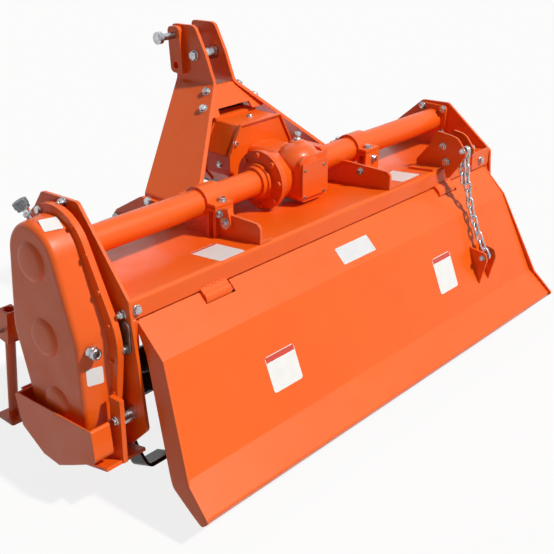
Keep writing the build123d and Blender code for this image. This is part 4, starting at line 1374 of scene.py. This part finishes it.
@dataclass
class Mast(Assembly):
    """Bolts of the mast, its ears and the hitch brackets, in pairs about the middle."""

    spacer: Triple = (42, 500, 834)
    plate_spots: tuple[Triple, ...] = ((61, 437, 747), (98, 411.5, 711.5))
    hitch_spots: tuple[Triple, ...] = ((311, 406.5, 507.5), (311, 350, 494), (311, 450, 400))

    def build(self) -> None:
        """Fit the mast's bolts."""
        left, right = Spot.pair("mast_plate_left", "mast_plate_right", self.spacer)
        self.fit("mast_spacer_bolt", Fastener(Head.BOLT, 8, 24, 9, 15, 2.5), [left])
        self.fit("mast_spacer_nut", Fastener(Head.NUT, 8, 24, 11, 15, 2.5, 6), [right])
        low = Fastener(Head.BOLT, 6, 19, 8, 12, 2)
        self.fit("mast_plate_bolts", low,
                 Spot.pair("mast_plate_left", "mast_plate_right", *self.plate_spots))
        self.fit("hitch_bolts", low, Spot.pair("hitch_brackets", "hitch_brackets", *self.hitch_spots))


@dataclass
class RotorBolts(Assembly):
    """Two bolts for each tine, through the rotor's flanges."""

    axis: Pair = (157.0, 223.619)
    flanges: tuple[float, ...] = (96.0, 288.0, 480.0, 672.0)
    leads: tuple[float, ...] = (11.25, -11.25, 33.75, -33.75)
    plate: float = 8.0
    shank: float = 8.0
    tip: float = 12.67
    radii: Pair = (66.0, 84.0)

    def build(self) -> None:
        """Model a plain low bolt and copy it to every tine."""
        model = Bench.stack("tine_bolt", 6, [(8.5, 0), (8.5, 5.5), (7.4, 6.5)])
        reach = self.plate / 2 + self.shank
        places = []
        for x, lead in zip(self.flanges, self.leads):
            for side, quarter in product((-1, 1), range(4)):
                out = -side if x == self.flanges[-1] else 1 - 2 * (quarter % 2)
                turn = math.radians(lead + self.tip + quarter * 90)
                for radius in self.radii:
                    y = self.axis[0] + radius * math.sin(turn)
                    z = self.axis[1] - radius * math.cos(turn)
                    spot = self.at(side * x + out * reach, y, z)
                    places.append(standing(spot, Vector((out, 0, 0)), math.degrees(turn)))
        self.repeat("tine_bolts", model, places, "turned_steel", "rotor_black", "rotor")


@dataclass
class Gate(Assembly):
    """Labels and nameplate of the tailgate."""

    labels: tuple[tuple[Label, Triple, Triple], ...] = (
        (Label("label_gate_middle", 100, 88, 15, corner=7), (-378, -130, 244), (0, 0.4, 1)),
        (Label("label_gate_right", 87, 104, 15, corner=7), (313, -125, 255), (0, 0.4, 1)),
        (Label("nameplate_blank", 133, 48, 0, "plate_silver", corner=3, thickness=0.9), (-6, -46, 404),
         (0, 0.7, 0.7)),
    )
    rivets: Pair = (58, 12)
    slope: float = 1.05

    def build(self) -> None:
        """Stick the gate's blank labels and rivet its nameplate."""
        for label, point, top in self.labels:
            self.stick(label, "tailgate_panel", point, Side.REAR, top, "tailgate")
        (x, y, z), (wide, high) = self.labels[-1][1], self.rivets
        rivets = [(x + dx, y + dz * self.slope, z + dz) for dx in (-wide, wide) for dz in (-high, high)]
        self.fit("nameplate_rivets", Fastener(Head.RIVET, 2, 5.5, 1.6, 0, 0),
                 Spot.row(Side.REAR, "tailgate_panel", *rivets), body="tailgate")


# ------------------------------------------------------------------------------------------ studio
@dataclass(frozen=True)
class Lamp:
    """Distant lamp: the direction that it shines from, its strength, angle in degrees and colour."""

    name: str
    source: Triple
    strength: float
    angle: float
    colour: Colour

    def build(self) -> None:
        """Put the lamp in the scene."""
        data = bpy.data.lights.new(self.name, "SUN")
        data.energy = self.strength
        data.angle = math.radians(self.angle)
        data.color = self.colour
        lamp = bpy.data.objects.new(self.name, data)
        lamp.matrix_world = standing(Vector(), Vector(self.source))
        bpy.context.scene.collection.objects.link(lamp)


@dataclass
class Studio:
    """Pale floor, soft light and the camera."""

    datum: Datum
    position: Triple = (-1839.715, -1415.205, 1385.071)
    azimuth: float = -47.196
    elevation: float = 24.508
    roll: float = -0.095
    lens: float = 62.131
    shift: Pair = (0.02639, -0.01347)
    key: Lamp = Lamp("key", (0.26, -0.80, 0.98), 3.45, 4.0, (1.0, 0.985, 0.96))
    fill: Lamp = Lamp("fill", (0.5, 0.6, 0.8), 0.085, 50.0, (0.93, 0.96, 1.0))
    ambient: float = 0.095
    floor_grey: float = 0.46
    floor_glow: float = 1.20
    glow_share: float = 0.70

    def build(self) -> None:
        """Make the camera, the lamps, the world and the floor."""
        self.camera()
        self.key.build()
        self.fill.build()
        self.world()
        self.floor()
        view = bpy.context.scene.view_settings
        view.view_transform = "Standard"

    def camera(self) -> None:
        """Camera at the fitted place, level apart from a slight roll."""
        a, e, r = (math.radians(v) for v in (self.azimuth, self.elevation, self.roll))
        forward = Vector((-math.sin(a) * math.cos(e), math.cos(a) * math.cos(e), -math.sin(e)))
        right = Vector((math.cos(a), math.sin(a), 0.0))
        up = right.cross(forward)
        right, up = math.cos(r) * right + math.sin(r) * up, -math.sin(r) * right + math.cos(r) * up
        data = bpy.data.cameras.new("camera")
        data.sensor_width = 36.0
        data.lens = self.lens
        data.shift_x, data.shift_y = self.shift
        data.clip_start, data.clip_end = 0.05, 60.0
        camera = bpy.data.objects.new("camera", data)
        camera.matrix_world = framed(self.datum.at(*self.position), right, up, -forward)
        bpy.context.scene.collection.objects.link(camera)
        bpy.context.scene.camera = camera

    @staticmethod
    def seen(tree: bpy.types.NodeTree) -> Socket:
        """Value that is 1 for camera, glossy and transmission rays.

        Args:
            tree: the tree that it is made in.
        Returns:
            The value's output.
        """
        path = tree.nodes.new("ShaderNodeLightPath")
        found = path.outputs["Is Camera Ray"]
        for ray in ("Is Glossy Ray", "Is Transmission Ray"):
            either = tree.nodes.new("ShaderNodeMath")
            either.operation = "MAXIMUM"
            tree.links.new(found, either.inputs[0])
            tree.links.new(path.outputs[ray], either.inputs[1])
            found = either.outputs[0]
        return found

    @staticmethod
    def mix(tree: bpy.types.NodeTree, share: Socket, first: bpy.types.Node, second: bpy.types.Node,
            target: str) -> None:
        """Feed a tree's output node with two shaders mixed.

        Args:
            tree: the tree.
            share: how much of the second shader shows.
            first: the first shader's node.
            second: the second shader's node.
            target: the output node's name.
        """
        node = tree.nodes.new("ShaderNodeMixShader")
        for number, output in enumerate((share, first.outputs[0], second.outputs[0])):
            tree.links.new(output, node.inputs[number])
        tree.links.new(node.outputs[0], tree.nodes[target].inputs["Surface"])

    def world(self) -> None:
        """White to the camera and in reflections, softer as light."""
        world = bpy.data.worlds.new("studio")
        bpy.context.scene.world = world
        world.use_nodes = True
        tree = world.node_tree
        light, backdrop = (tree.nodes.new("ShaderNodeBackground") for _ in range(2))
        light.inputs["Color"].default_value = (0.94, 0.97, 1.0, 1.0)
        light.inputs["Strength"].default_value = self.ambient
        backdrop.inputs["Color"].default_value = (1.0, 1.0, 1.0, 1.0)
        backdrop.inputs["Strength"].default_value = 1.0
        self.mix(tree, self.seen(tree), light, backdrop, "World Output")

    def floor(self) -> None:
        """Plain pale floor that keeps the machine's shadow."""
        floor = Bench.start("plane", size=30.0)
        floor.name = "floor"
        material = bpy.data.materials.new("floor")
        material.use_nodes = True
        tree = material.node_tree
        tree.nodes.remove(tree.nodes["Principled BSDF"])
        matt, glow, share = (tree.nodes.new(kind) for kind in (
            "ShaderNodeBsdfDiffuse", "ShaderNodeEmission", "ShaderNodeMath"))
        matt.inputs["Color"].default_value = (self.floor_grey, self.floor_grey, self.floor_grey, 1.0)
        glow.inputs["Color"].default_value = (1.0, 1.0, 1.0, 1.0)
        glow.inputs["Strength"].default_value = self.floor_glow
        share.operation = "MULTIPLY"
        share.inputs[1].default_value = self.glow_share
        tree.links.new(self.seen(tree), share.inputs[0])
        self.mix(tree, share.outputs[0], matt, glow, "Material Output")
        floor.data.materials.append(material)


# ------------------------------------------------------------------------------------------ the machine
FINISHED_NODES = {
    "zinc_plate": ("hinge_pins", "tailgate_chain_bolt", "chain_links", "chain_pin", "filler_cap",
                   "sight_plug", "mast_spacer", "top_link_pin", "lower_hitch_pins", "skid_spacers",
                   "stand_clamp_bolt"),
    "orange_casting": ("gearbox_housing", "gearbox_cover", "rotor_bearings"),
    "rotor_black": ("rotor_shaft", "rotor_tines"),
    "turned_steel": ("pto_input_shaft",),
}
SUB_ASSEMBLIES = (Chain, GearCase, BevelBox, HoodFittings, HingeWelds, SheetTrim, ChainBracket, Mast,
                  RotorBolts, Gate)


def dress_nodes(nodes: dict[str, bpy.types.Object], palette: Palette) -> None:
    """Give every CAD node its finish, orange sheet where none is named.

    Args:
        nodes: the CAD nodes by name.
        palette: the finishes.
    """
    finish_of = {name: finish for finish, names in FINISHED_NODES.items() for name in names}
    for name, node in nodes.items():
        palette.coat(node, finish_of.get(name, "orange_sheet"))
    log.info("%d nodes dressed", len(nodes))


def main() -> None:
    """Build the scene in order."""
    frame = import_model()
    palette, surfaces = Palette(), Surfaces(frame["nodes"])
    datum = Datum.from_joints(frame["joints"])
    Studio(datum).build()
    dress_nodes(frame["nodes"], palette)
    for sub_assembly in SUB_ASSEMBLIES:
        sub_assembly(datum, surfaces, palette).build()
    log.info("scene built")


if __name__ == "__main__":
    main()
